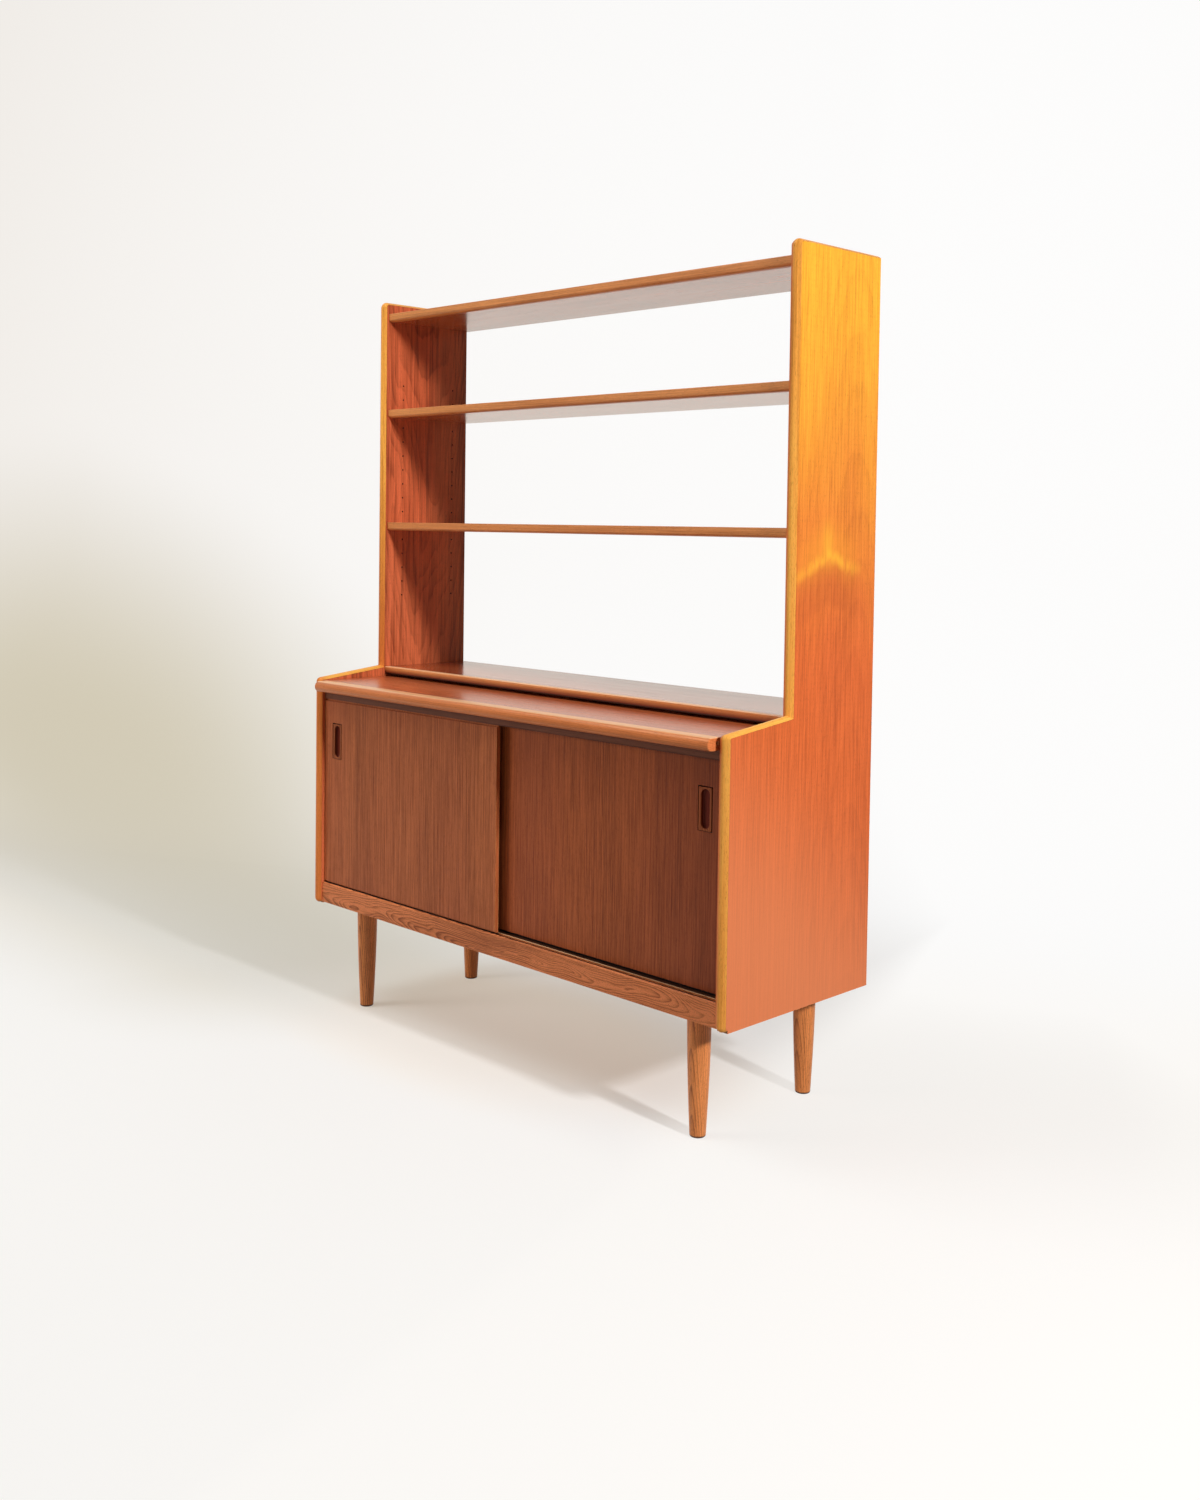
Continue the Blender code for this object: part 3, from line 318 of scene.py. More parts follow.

# %% [markdown]
# ## One wood for each board
#
# The boards were cut from different veneers, so each gets a material of its
# own. They share one recipe. It reads Object coordinates in the board's own
# order, across, deep and along the grain, and moves them by the board's shift,
# so that no two boards show the same patch of the same tree. Rings, fibres and
# tone add up to a darkness, which picks a colour from the wood's four stops.
# The surface has a satin lacquer over a shallow bump. Later cells lay more
# colours over a wood: wear, dark feet, painted light and shade, and the core that cut edges show.

# %% A surface in the making
class Surface(Recipe):
    """A material's recipe, with its CAD node, the place it reads and its colour so far."""

    def __init__(self, name, cad_node=None):
        self.material = bpy.data.materials.new(name)
        self.material.use_nodes = True
        super().__init__(self.material.node_tree)
        self.cad_node = cad_node
        self.shader = self.tree.nodes["Principled BSDF"]
        self.source = self.node("TexCoord").outputs["Object"]

    def at(self):
        """The three coordinates that the surface reads."""
        return self.split(self.source)

    def facing(self):
        """How far the surface faces along each axis."""
        return self.split(self.node("TexCoord").outputs["Normal"])

    def set(self, **values):
        """Feeds the shader's sockets. In a keyword, an underscore stands for a space."""
        for name, value in values.items():
            self.feed(self.shader.inputs[name.replace("_", " ")], value)

    def over(self, share, colour, weight=None):
        """Lays a colour over the surface, fully where the share is 1."""
        if weight is not None:
            share = self.mul(share, weight)
        self.colour = self.blend(share, self.colour, colour)
        self.set(Base_Color=self.colour)


# %% The recipe of a wooden surface
WOOD_PARTS = {
    "ring_width": 0.0045, "side": 0.45, "depth": 0.05, "lean": 0.03, "wobble": 0.02,
    "sharp": 2.2, "crowd": 1.0, "rings": 0.30, "fibres": 0.36, "tone": 0.24, "streaks": 0.20,
    "pores": 0.5, "fineness": 1.0, "gloss": 0.42, "shine": 0.22, "tint": (1.0, 1.0, 1.0, 1.0),
    "coat": 0.0, "bump": 0.10,
}
DARKNESS = (0.05, 0.45, 0.75, 1.0)
COAT_ROUGHNESS = 0.18
PORE_DEPTH = 0.0003


def grain_place(made, order, shift, crowd):
    """Coordinates across, deep and along the grain, moved to the board's own patch.
    Crowd shortens the figure along the grain."""
    parts = dict(zip("xyz", made.at()))
    turned = made.join(*[parts[axis] for axis in order])
    inputs = {"Vector": turned, "Location": shift, "Scale": (1.0, 1.0, crowd)}
    return made.node("Mapping", inputs).outputs["Vector"]


def wood(node, order, shift, colours, attribute=None, hue=None, second=None, **changes):
    """A lacquered wood for a node. It reads the attribute, or else Object coordinates.
    Hue is (share, colour), second is (mask, palette); the rest changes WOOD_PARTS."""
    part = {**WOOD_PARTS, **changes}
    made = Surface(node + "_wood", node)
    if attribute:
        made.source = made.node("Attribute", attribute_name=attribute).outputs["Vector"]
    place = grain_place(made, order, shift, part["crowd"])
    rings = made.group(rings_group, {
        "Place": place, "Ring Width": part["ring_width"], "Pith Side": part["side"],
        "Pith Depth": part["depth"], "Lean": part["lean"], "Wobble": part["wobble"],
        "Sharpness": part["sharp"],
    })
    fibres = made.group(fibres_group, {"Place": place, "Fineness": part["fineness"]})
    broad = made.group(tone_group, {"Place": place})
    ring_mean = 0.9 / (1 + part["sharp"])
    dark = made.mad(made.sub(broad["Sheen"], 0.5), 0.10, DARKNESS[1])
    for value, mean, weight in (
        (rings["Rings"], ring_mean, "rings"), (fibres["Fibres"], 0.5, "fibres"),
        (broad["Tone"], 0.5, "tone"), (broad["Streaks"], 0.5, "streaks"),
    ):
        dark = made.mad(made.sub(value, mean), part[weight], dark)
    made.colour = made.ramp(dark, zip(DARKNESS, colours))
    if second:
        mask, palette = second
        made.over(mask(made), made.ramp(dark, zip(DARKNESS, palette)))
    if hue:
        made.over(broad["Hue"], hue[1], hue[0])
    made.over(fibres["Pores"], colours[4], part["pores"])
    rough = made.mad(fibres["Fibres"], 0.08, part["gloss"] - 0.04)
    inputs = {"Height": fibres["Height"], "Strength": part["bump"], "Distance": PORE_DEPTH}
    made.set(Roughness=made.mad(fibres["Pores"], 0.10, rough), Specular_IOR_Level=part["shine"],
             Specular_Tint=part["tint"], Coat_Weight=part["coat"], Coat_Roughness=COAT_ROUGHNESS,
             Normal=made.node("Bump", inputs).outputs["Normal"])
    return made


# %% [markdown]
# ## Surfaces from numpy
#
# The moulded pieces are a section carried along a path, and the turned ones a
# section carried round an axis. Both are a grid of points: a row for each step
# along, a column for each point of the section. The faces of such a grid come
# from index arrays, with no loop over its points.

# %% A mesh from rows of points
MERGE_DISTANCE = 0.000002
SMALLEST_EDGE = 0.000001


def weave(name, rows, material, closed):
    """An object with a face between each four neighbours in a grid of points. A closed
    one joins each row's last point to its first and has a cap at both ends."""
    count, across = rows.shape[:2]
    row, column = np.meshgrid(np.arange(count - 1), np.arange(across - 1 + closed), indexing="ij")
    first, after = row * across + column, row * across + (column + 1) % across
    faces = np.stack((first, after, after + across, first + across), -1).reshape(-1, 4).tolist()
    if closed:
        ring = np.arange(across)
        faces += [ring[::-1].tolist(), ((count - 1) * across + ring).tolist()]
    mesh = bpy.data.meshes.new(name)
    mesh.from_pydata(rows.reshape(-1, 3).tolist(), [], faces)
    mesh.shade_smooth()
    mesh.materials.append(material)
    piece = bpy.data.objects.new(name, mesh)
    scene.collection.objects.link(piece)
    print(name, len(faces), "faces")
    return piece


def skin(name, rows, body, made, sharp=32.0, grain=None):
    """A closed surface that stands in for the CAD node that its wood was made for."""
    replaced = made.cad_node
    piece = weave(name, rows, made.material, True)
    mesh = piece.data
    if grain is not None:
        field = mesh.attributes.new("grain", "FLOAT_VECTOR", "POINT")
        field.data.foreach_set("vector", grain.reshape(-1).astype(np.float32))
    body_mesh = bmesh.new()
    body_mesh.from_mesh(mesh)
    bmesh.ops.remove_doubles(body_mesh, verts=body_mesh.verts, dist=MERGE_DISTANCE)
    bmesh.ops.dissolve_degenerate(body_mesh, edges=body_mesh.edges, dist=SMALLEST_EDGE)
    bmesh.ops.recalc_face_normals(body_mesh, faces=body_mesh.faces)
    body_mesh.to_mesh(mesh)
    body_mesh.free()
    mesh.set_sharp_from_angle(angle=math.radians(sharp))
    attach(piece, body)
    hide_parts(replaced)


# %% Arcs and sections
def arc(centre, radius, start, end, steps, squash=1.0):
    """Points centre + radius (cos, squash sin) from start to end degrees."""
    angle = np.radians(np.linspace(start, end, steps + 1))
    return np.stack((centre[0] + radius * np.cos(angle),
                     centre[1] + radius * squash * np.sin(angle)), -1)


def with_x(x, flat):
    """Rows of (x, y, z) points from rows of (y, z) points and the x of each."""
    return np.concatenate((np.broadcast_to(x, flat.shape[:2])[..., None], flat), -1)


def run_length(points):
    """The length of a line of points up to each of them: the running sum of its steps."""
    steps = np.linalg.norm(np.diff(points, axis=0), axis=1)
    return np.concatenate(([0.0], np.cumsum(steps)))


# %% [markdown]
# ## Palette
#
# The photograph shows five tones of one wood: honey strips, orange outer sides,
# a redder inside, brown doors and a livelier, lighter wood in the bottom rail
# and legs. Each palette is four stops from pale fibres to late wood, and a
# colour for the pores.

# %% Wood colours
SHADES = ((1.32, 1.38, 1.50), (1.0, 1.0, 1.0), (0.68, 0.62, 0.56), (0.42, 0.34, 0.28),
          (0.28, 0.20, 0.16))


def tones(red, green, blue):
    """The written colour times each shade: pale, middle, dark, late wood and pore."""
    middle = np.array(paint(red, green, blue)[:3])
    return [(*np.clip(middle * shade, 0, 1).tolist(), 1.0) for shade in SHADES]


HONEY = tones(206, 108, 54)
# A lit copy of the strips' honey, for painted light on the half towards the key lamp.
HONEY_LIT = tones(255, 176, 78)
OUTER = tones(208, 97, 42)
# A pale yellow for the right side's figure, and for painted light towards its top.
FIGURE_AND_LIT_YELLOW = tones(246, 166, 44)
INNER = tones(204, 98, 56)
# A browner copy of the inner wood, for painted shade at the rear and for dark veins.
INNER_SHADE_AND_VEIN = tones(196, 104, 62)
DOOR_LEFT = tones(172, 93, 51)
DOOR_RIGHT = tones(165, 83, 41)
LIVELY = tones(200, 114, 66)
RAIL = tones(106, 60, 40)
SHELF = tones(198, 110, 56)
LEAF = tones(196, 96, 50)
EDGE = tones(222, 142, 78)
LEG = tones(214, 129, 68)
# A darker copy of the door wood, for painted shade at the right door's end.
DOOR_END_SHADE = tones(136, 64, 31)
BLOCK = tones(150, 80, 46)
PLATFORM = tones(170, 80, 42)
BEECH = tones(200, 160, 116)
PLY = tones(190, 150, 104)
PALE_WEAR = paint(226, 158, 92)
# A pale colour for painted highlights on arrises.
ARRIS_HIGHLIGHT = paint(250, 196, 146)
AMBER = (1.0, 0.62, 0.30, 1.0)


# %% Masks along a board
def band(made, value, low, high, soft):
    """1 between low and high, with soft ends."""
    rise = made.smooth(value, low - soft, low + soft)
    fall = made.smooth(value, high - soft, high + soft)
    return made.sub(rise, fall)


def line(made, value, width):
    """1 where the value is 0, and nothing beyond the width."""
    return made.fade(made.size(value), 0.0, width)


def wavered(made, value, amount):
    """The value, moved by slow noise, so that no edge is ruled."""
    drift = made.drawn_out(made.source, (9.0, 9.0, 3.0), 3.0)
    return made.mad(made.sub(drift, 0.5), amount, value)


# %% [markdown]
# ## Side strips
#
# A strip of paler teak, moulded to a low arch, is glued round the front edge of
# each side and mitred in the step's inner corner. Here one arched section is
# carried along that edge. It stands square to the path, and in the inner corner
# it lies on the mitre plane, stretched by one over the cosine of half the turn,
# so that both runs keep their width.

# %% The side's edge line
SIDE_BOTTOM = 0.222
SIDE_TOP = 1.570
LOWER_FRONT = -0.1945
UPPER_FRONT = -0.026
BACK = 0.214
STEP_FRONT = 0.724
STEP_BACK = 0.743
FOOT_RADIUS = 0.010
STEP_RADIUS = 0.009
TOP_RADIUS = 0.012
STRIP_DEPTH = 0.0055
STRIP_STRAIGHT = 0.0002
CORNER_STEPS = 14


def edge_path(inset):
    """The side's front outline moved in: foot corner, step, inner corner and top."""
    slope = (STEP_BACK - STEP_FRONT) / (UPPER_FRONT - LOWER_FRONT)
    rise = math.degrees(math.atan(slope))
    drop = inset * (math.sqrt(1 + slope * slope) - slope)
    foot, step, top = (radius - inset for radius in (FOOT_RADIUS, STEP_RADIUS, TOP_RADIUS))
    front = LOWER_FRONT + inset
    upper = UPPER_FRONT + inset
    ceiling = SIDE_TOP - inset
    reach = step * math.tan(math.radians(90 - rise) / 2)
    runs = [
        arc((front + foot, SIDE_BOTTOM + inset + foot), foot, 270, 180, CORNER_STEPS),
        arc((front + step, STEP_FRONT - drop - reach), step, 180, 90 + rise, CORNER_STEPS),
        np.array([[upper, STEP_BACK - drop]]),
        arc((upper + top, ceiling - top), top, 180, 90, CORNER_STEPS),
        np.array([[BACK, ceiling]]),
    ]
    return np.concatenate(runs)


# %% Carry a section along a path
def mitres(path):
    """The outward direction at each point: the two runs' normals added and divided
    by one plus their dot product, which is the mitre's stretched normal."""
    run = np.diff(path, axis=0)
    run /= np.linalg.norm(run, axis=1, keepdims=True)
    normal = np.stack((-run[:, 1], run[:, 0]), -1)
    before = np.concatenate((normal[:1], normal))
    after = np.concatenate((normal, normal[-1:]))
    dot = (before * after).sum(1, keepdims=True)
    return (before + after) / (1 + dot)


def carried(path, section, middle):
    """Rows of points path + out * mitre, moved across along X, and their grain place."""
    out, across = section[:, 0], section[:, 1]
    outward = mitres(path)
    flat = path[:, None, :] + outward[:, None, :] * out[None, :, None]
    grain = np.stack(np.broadcast_arrays(across, out, run_length(path)[:, None]), -1)
    return with_x(middle + across, flat), grain


# %% The two strips
SIDES = ("left", "right")
RUN_OVER_STEP = (0.50, 0.66)
RUN_LIT = (0.66, 1.20)
LIT_FOOT_SHARE = (0.10, 0.75)
path = edge_path(STRIP_DEPTH)


def arched(half):
    """The strip's section: a flat back and short cheeks under the arch 1 - share^1.7."""
    share = np.sin(np.radians(np.linspace(-90, 90, 37)))
    bulge = STRIP_DEPTH - STRIP_STRAIGHT
    crown = np.stack((STRIP_STRAIGHT + bulge * (1 - np.abs(share)**1.7), half * share), -1)
    return np.concatenate(([[0.0, -half]], crown, [[0.0, half]]))


def painted_lit_half(foot):
    """A mask of painted light on the strip's half towards the key lamp: by the
    foot's share below, fully over the step, and more and more towards the top."""
    def mask(made):
        across, _, run = made.at()
        high = made.most(made.smooth(run, *RUN_LIT), band(made, run, *RUN_OVER_STEP, 0.015))
        return made.mul(made.smooth(across, -0.009, 0.000), made.mad(high, 1 - foot, foot))
    return mask


for number, label in enumerate(SIDES):
    low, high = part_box("side_strip_" + label)
    half = (high.x - low.x) / 2
    rows, grain = carried(path, arched(half), (low.x + high.x) / 2)
    # Painted light: the half towards the key lamp is blended to a lit copy of the wood, and the
    # rest keeps the darker base colour as painted shade.
    made = wood(
        "side_strip_" + label, "xyz", (0.3 + number, 0.2, 0.1 * number), HONEY, "grain",
        hue=(0.2, paint(230, 132, 54)), second=(painted_lit_half(LIT_FOOT_SHARE[number]), HONEY_LIT),
        ring_width=0.006, side=0.06, depth=0.03, rings=0.22, gloss=0.40, shine=0.25, tint=AMBER,
    )
    skin("edge_strip_" + label, rows, "carcass", made, grain=grain)

# %% [markdown]
# ## Shelf strips
#
# Every shelf has a solid strip glued along its front. Its top is level with the
# shelf, its face is upright, and it is eased back below, so that the shelf looks
# thin from in front. The section is drawn once and run from side to side.

# %% The strips of the four shelves
EASE_BACK = 0.0095
EASE_UP = 0.006
TOP_ROUND = 0.0009


def shelf_section(low, high):
    """The strip's (y, z) outline: small round on top, long ease below."""
    front, under = low
    back, top = high
    ease = arc((front + EASE_BACK, under + EASE_UP), EASE_BACK, 180, 270, 14, EASE_UP / EASE_BACK)
    crown = arc((front + TOP_ROUND, top - TOP_ROUND), TOP_ROUND, 90, 180, 5)
    return np.concatenate((crown, ease, [[back, under], [back, top]]))


def painted_arris_highlight(made, top):
    """A painted highlight along a piece's top arris."""
    up = made.at()[2]
    made.over(made.smooth(up, top - 0.0018, top - 0.0006), ARRIS_HIGHLIGHT, 0.8)


def painted_underside_shade(made, floor):
    """Painted shade on the eased underside above the leaf, darkest at its lowest edge."""
    up = made.at()[2]
    for full, none, colour in ((0.004, 0.018, paint(116, 46, 20)), (0.003, 0.007, paint(26, 5, 2))):
        made.over(made.fade(up, floor + full, floor + none), colour)


for number, shelf in enumerate(("top_shelf", "upper_shelf", "lower_shelf", "platform")):
    node = shelf + "_strip"
    low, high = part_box(node)
    made = wood(
        node, "zyx", (0.5 * number, 0.13 * number, 0.37 * number), EDGE, ring_width=0.005,
        side=0.05, depth=0.04, rings=0.25, gloss=0.36, shine=0.4, hue=(0.4, paint(204, 114, 56)),
    )
    if shelf == "platform":
        # Painted shade on the eased underside, and a painted highlight on the top arris.
        painted_underside_shade(made, low.z)
        painted_arris_highlight(made, high.z)
    section = shelf_section((low.y, low.z), (high.y, high.z))
    rows = with_x([[low.x], [high.x]], np.stack((section, section)))
    skin(shelf + "_edge", rows, "carcass", made)

# %% [markdown]
# ## The leaf's moulded nose
#
# The desk leaf ends in a solid nose, 23 mm high, with a bold half-round front.
# It is what a hand pulls, and it hides the upper rail. Behind, a groove takes
# the leaf's tongue. The section is half an ellipse and a straight back, and it
# shrinks a little in the last steps at either end, which rounds the ends.

# %% The nose
NOSE_BULGE = 0.0112
TONGUE_DEPTH = 0.008
TONGUE_HALF = 0.0033
END_ROUND = 0.0015
low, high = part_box("desk_leaf_nose")
leaf_low, leaf_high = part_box("desk_leaf")
tongue_middle = (leaf_low.z + leaf_high.z) / 2
nose_half = (high.z - low.z) / 2
nose = arc((low.y + NOSE_BULGE, low.z + nose_half), NOSE_BULGE, 90, 270, 40, nose_half / NOSE_BULGE)
groove_end = high.y - TONGUE_DEPTH
under, over = tongue_middle - TONGUE_HALF, tongue_middle + TONGUE_HALF
groove = np.array([[high.y, low.z], [high.y, under], [groove_end, under],
                   [groove_end, over], [high.y, over], [high.y, high.z]])
section = np.concatenate((nose, groove))
middle = np.array([(low.y + high.y) / 2, low.z + nose_half])
angle = np.radians(np.linspace(0, 90, 6))
inset = END_ROUND * (1 - np.sin(angle))
inner = END_ROUND * (1 - np.cos(angle))
x = np.concatenate((low.x + inner, (high.x - inner)[::-1]))
shrink = 1 - np.concatenate((inset, inset[::-1])) / nose_half
rows = with_x(x[:, None], middle + (section - middle) * shrink[:, None, None])
made = wood(
    "desk_leaf_nose", "zyx", (0.21, 0.4, 0.15), LIVELY, ring_width=0.004, side=0.03,
    depth=0.035, rings=0.36, gloss=0.34, shine=0.45, hue=(0.5, paint(216, 120, 58)), tint=AMBER,
)
# A painted highlight on the nose's top arris.
painted_arris_highlight(made, high.z)
skin("leaf_nose", rows, "desk_leaf", made)

# %% [markdown]
# ## Turned legs
#
# The four legs were turned on a lathe: they taper, with a slight swell, to a
# rounded foot, and a tenon goes up into the batten. A lathe's work is a radius
# for each height, so the surface is that radius carried round the leg's axis.

# %% The legs
LEG_LENGTH = 0.223
LEG_TOP = 0.022
LEG_FOOT = 0.0145
LEG_SWELL = 0.0012
LEG_SHOULDER = 0.0006
FOOT_ROUND = 0.003
TENON_RADIUS = 0.011
TENON_LENGTH = 0.022
POLE = 0.00001


def turned_rows(profile, centre, around=72):
    """Rows of points centre + radius (cos, sin), one row for each (radius, height)."""
    angle = np.linspace(0, 2 * np.pi, around, endpoint=False)
    radius, height = profile[:, 0, None], profile[:, 1, None]
    return np.stack((centre[0] + radius * np.cos(angle), centre[1] + radius * np.sin(angle),
                     height + 0 * angle), -1)


share = np.linspace(0, 1, 25)
taper = LEG_TOP + (LEG_FOOT - LEG_TOP) * share + LEG_SWELL * np.sin(np.pi * share)
fall = LEG_LENGTH - LEG_SHOULDER - (LEG_LENGTH - LEG_SHOULDER - FOOT_ROUND) * share
foot = arc((LEG_FOOT - FOOT_ROUND, FOOT_ROUND), FOOT_ROUND, -10, -90, 8)
tenon_top = LEG_LENGTH + TENON_LENGTH
leg_profile = np.concatenate((
    [[POLE, tenon_top], [TENON_RADIUS, tenon_top], [TENON_RADIUS, LEG_LENGTH],
     [LEG_TOP - LEG_SHOULDER, LEG_LENGTH]],
    np.stack((taper, fall), -1), foot, [[POLE, 0.0]],
))


def footed(made):
    """Darkens the rounded foot, to dark brown over its lowest few millimetres."""
    ragged = made.noise(made.source, 120.0, 3.0)
    height = made.mad(ragged, 0.002, made.at()[2])
    made.over(made.fade(height, 0.0030, 0.0062), paint(52, 24, 12))


for number, leg in enumerate(("front_left", "front_right", "back_left", "back_right")):
    node = "leg_" + leg
    low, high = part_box(node)
    centre = ((low.x + high.x) / 2, (low.y + high.y) / 2)
    made = wood(
        node, "xyz", (-centre[0], -centre[1], 0.31 * number), LEG,
        ring_width=0.0036, side=0.004 * number, depth=0.020, lean=0.10, wobble=0.014,
        rings=0.85, fibres=0.34, tone=0.26, pores=0.8, sharp=3.5, gloss=0.40, shine=0.35,
    )
    footed(made)
    skin("turned_" + node, turned_rows(leg_profile, centre), "carcass", made)

# %% [markdown]
# ## Finger pulls
#
# Each door has a solid block let into it, with a long slot for a fingertip. The
# block is a chain of rounded rectangles with the same number of points, so they
# form one grid. It starts at the back edge, turns over the front arris, crosses
# the face, and goes down into the slot and over its coved floor.

# %% Rounded rectangles
def rounded_box_outline(width, height, radius, count=144):
    """Points at equal steps along a rectangle whose corners are quarter circles."""
    x, z = width / 2 - radius, height / 2 - radius
    quarters = [arc((sx * x, sz * z), radius, start, start + 90, 12)
                for sx, sz, start in ((1, 1, 0), (-1, 1, 90), (-1, -1, 180), (1, -1, 270))]
    loop = np.concatenate(quarters + [quarters[0][:1]])
    length = run_length(loop)
    steps = np.linspace(0, length[-1], count, endpoint=False)
    return np.stack([np.interp(steps, length, loop[:, axis]) for axis in (0, 1)], -1)


SLOT_WIDTH = 0.0195
SLOT_HEIGHT = 0.069
SLOT_DEPTH = 0.0062
SLOT_COVE = 0.0025
RIM_ROUND = 0.0007
FACE_ROUND = 0.0004
JOINT_SIDE = 0.0030
JOINT_TOP = 0.0022
JOINT_DEPTH = 0.0060
CORNER = 0.0004
HAIR = 0.00001


def painted_slot_shade(made, face):
    """Painted shade on what lies deeper than the block's face: the slot and the open joint."""
    deep = made.smooth(made.at()[1], face + 0.0006, face + 0.0042)
    made.over(deep, paint(92, 22, 8), 0.92)


def turns(*degrees):
    """One minus the sine and one minus the cosine of each angle."""
    return [(1 - math.sin(angle), 1 - math.cos(angle)) for angle in map(math.radians, degrees)]


for number, label in enumerate(SIDES):
    node = "finger_pull_" + label
    low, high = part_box(node)
    width, height = high.x - low.x, high.z - low.z
    narrow, short = width - JOINT_SIDE, height - JOINT_TOP
    aside, below = -JOINT_SIDE / 2, -JOINT_TOP / 2
    shoulder = low.y + JOINT_DEPTH
    outlines = [(width, height, CORNER, high.y, 0, 0), (width, height, CORNER, shoulder, 0, 0),
                (narrow, short, CORNER, shoulder, aside, below),
                (narrow, short, CORNER, low.y + FACE_ROUND, aside, below)]
    for forward, inward in turns(30, 60, 90):
        shrink = 2 * FACE_ROUND * inward
        outlines.append((narrow - shrink, short - shrink, CORNER, low.y + FACE_ROUND * forward,
                         aside, below))
    slot = [(2 * RIM_ROUND * wider, RIM_ROUND * deeper) for wider, deeper in turns(0, 30, 60, 90)]
    slot += [(-2 * SLOT_COVE * inward, SLOT_DEPTH - SLOT_COVE * short_of)
             for short_of, inward in turns(0, 22.5, 45, 67.5, 90)]
    for grow, depth in slot:
        wide = SLOT_WIDTH + grow
        outlines.append((wide, SLOT_HEIGHT + grow, wide / 2 - HAIR, low.y + depth,
                         aside / 2, below / 2))
    loops = []
    for wide, tall, radius, depth, right, up in outlines:
        loop = rounded_box_outline(wide, tall, radius)
        loops.append(np.stack((loop[:, 0] + (low.x + high.x) / 2 + right, np.full(len(loop), depth),
                               loop[:, 1] + (low.z + high.z) / 2 + up), -1))
    made = wood(
        node, "xyz", (0.7 + number, 0.3, 0.2), BLOCK, ring_width=0.004, side=0.03,
        depth=0.03, rings=0.26, fibres=0.38, gloss=0.45, shine=0.15,
    )
    # Painted shade in the slot and the open joint.
    painted_slot_shade(made, low.y)
    skin("pull_block_" + label, np.array(loops), "door_" + label, made, sharp=40.0)

# %% [markdown]
# ## Veneered boards
#
# The flat boards keep their CAD shapes. Their finish is what makes them: each
# gets its wood, turned so that the grain runs the way it does on the real
# piece, upright on the sides and doors and lengthways on the shelves.

# %% Holes, cut edges and rubbed arrises
CORE = ((0.25, paint(196, 150, 104)), (0.45, paint(168, 122, 80)),
        (0.62, paint(140, 98, 62)), (0.85, paint(112, 76, 46)))


def within(made, index, low, high):
    """How deep a point lies under the nearer of two opposite faces."""
    value = made.at()[index]
    return made.least(made.sub(value, low[index]), made.sub(high[index], value))


def bored(made, low, high):
    """1 inside the holes bored in a side, and 0 on its faces, back and under edges."""
    _, y, z = made.at()
    under_face = within(made, 0, low, high)
    from_edge = made.least(made.sub(high.y, y), made.sub(z, low.z))
    return made.mul(made.math("GREATER_THAN", under_face, 0.0003),
                    made.math("GREATER_THAN", from_edge, 0.003))


def dress(node, material):
    nodes[node].data.materials.clear()
    nodes[node].data.materials.append(material)
    print(node, "is finished in", material.name)


def finish_board(made, edge_axes, wear):
    """Adds pale rubbed arrises, and the core on the cut edges that face the edge axes,
    away from the two faces of the thinnest way. Then it dresses the node."""
    node = made.cad_node
    low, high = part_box(node)
    rubbed = made.group(wear_group, {"Place": made.source, "Low": low, "High": high})
    made.over(rubbed["Wear"], PALE_WEAR, wear)
    if edge_axes:
        normal = made.facing()
        edge = 0.0
        for axis in edge_axes:
            edge = made.most(edge, made.size(normal["xyz".index(axis)]))
        inside = within(made, int(np.argmin(high - low)), low, high)
        edge = made.mul(made.smooth(edge, 0.6, 0.8), made.smooth(inside, 0.0006, 0.0009))
        stripes = made.drawn_out(made.source, (60.0, 60.0, 60.0), 3.0)
        specks = made.noise(made.source, 900.0, 3.0, 0.7)
        made.over(edge, made.ramp(made.mad(specks, 0.55, made.mul(stripes, 0.5)), CORE))
    # Painted shade: the walls of the holes bored in a side are painted near black.
    if node.startswith("side_panel"):
        made.over(bored(made, low, high), paint(22, 7, 4))
    dress(node, made.material)


# %% [markdown]
# ### The sides
#
# The outer right side gets painted light towards the top, paler and yellower,
# and has a crotch figure beside the lower shelf: a pale arch with darker wood
# under it, and a thin pale streak lower down. The left side shows its inner
# face, red in front, with painted shade, browner, over the rear part and towards
# the platform, and a livelier figure. On both, the shelf holes get painted shade:
# a mask tells a hole's wall from the faces, and the walls are painted near black.

# %% Sides
ARCH_MIDDLE = 0.062
ARCH_HEIGHT = 1.018


def outer(made):
    """1 on the right side's outer face, 0 on its inner one."""
    low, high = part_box("side_panel_right")
    return made.math("GREATER_THAN", made.at()[0], (low.x + high.x) / 2)


def painted_top_light(made):
    """How much painted light the outer side gets: more towards the top."""
    height = wavered(made, made.at()[2], 0.25)
    share = made.mad(outer(made), 0.85, 0.15)
    return made.mul(made.smooth(height, 0.76, 1.60), share)


def behind(made):
    """Painted shade, browner, over the rear part of the left side, and some towards the platform.
    """
    _, y, z = made.at()
    rear = made.smooth(wavered(made, y, 0.08), 0.085, 0.150)
    low = made.fade(wavered(made, z, 0.2), 0.85, 1.15)
    return made.most(rear, made.mul(low, 0.45))


def streaked(made):
    """Dark upright veins in the bays of the left side."""
    _, y, z = made.at()
    y = wavered(made, y, 0.03)
    for across, low, high in ((0.125, 1.38, 1.53), (0.100, 1.10, 1.27), (0.030, 0.80, 0.95)):
        vein = line(made, made.sub(y, across), 0.0045)
        made.over(made.mul(vein, band(made, z, low, high, 0.04)), INNER_SHADE_AND_VEIN[3], 0.6)


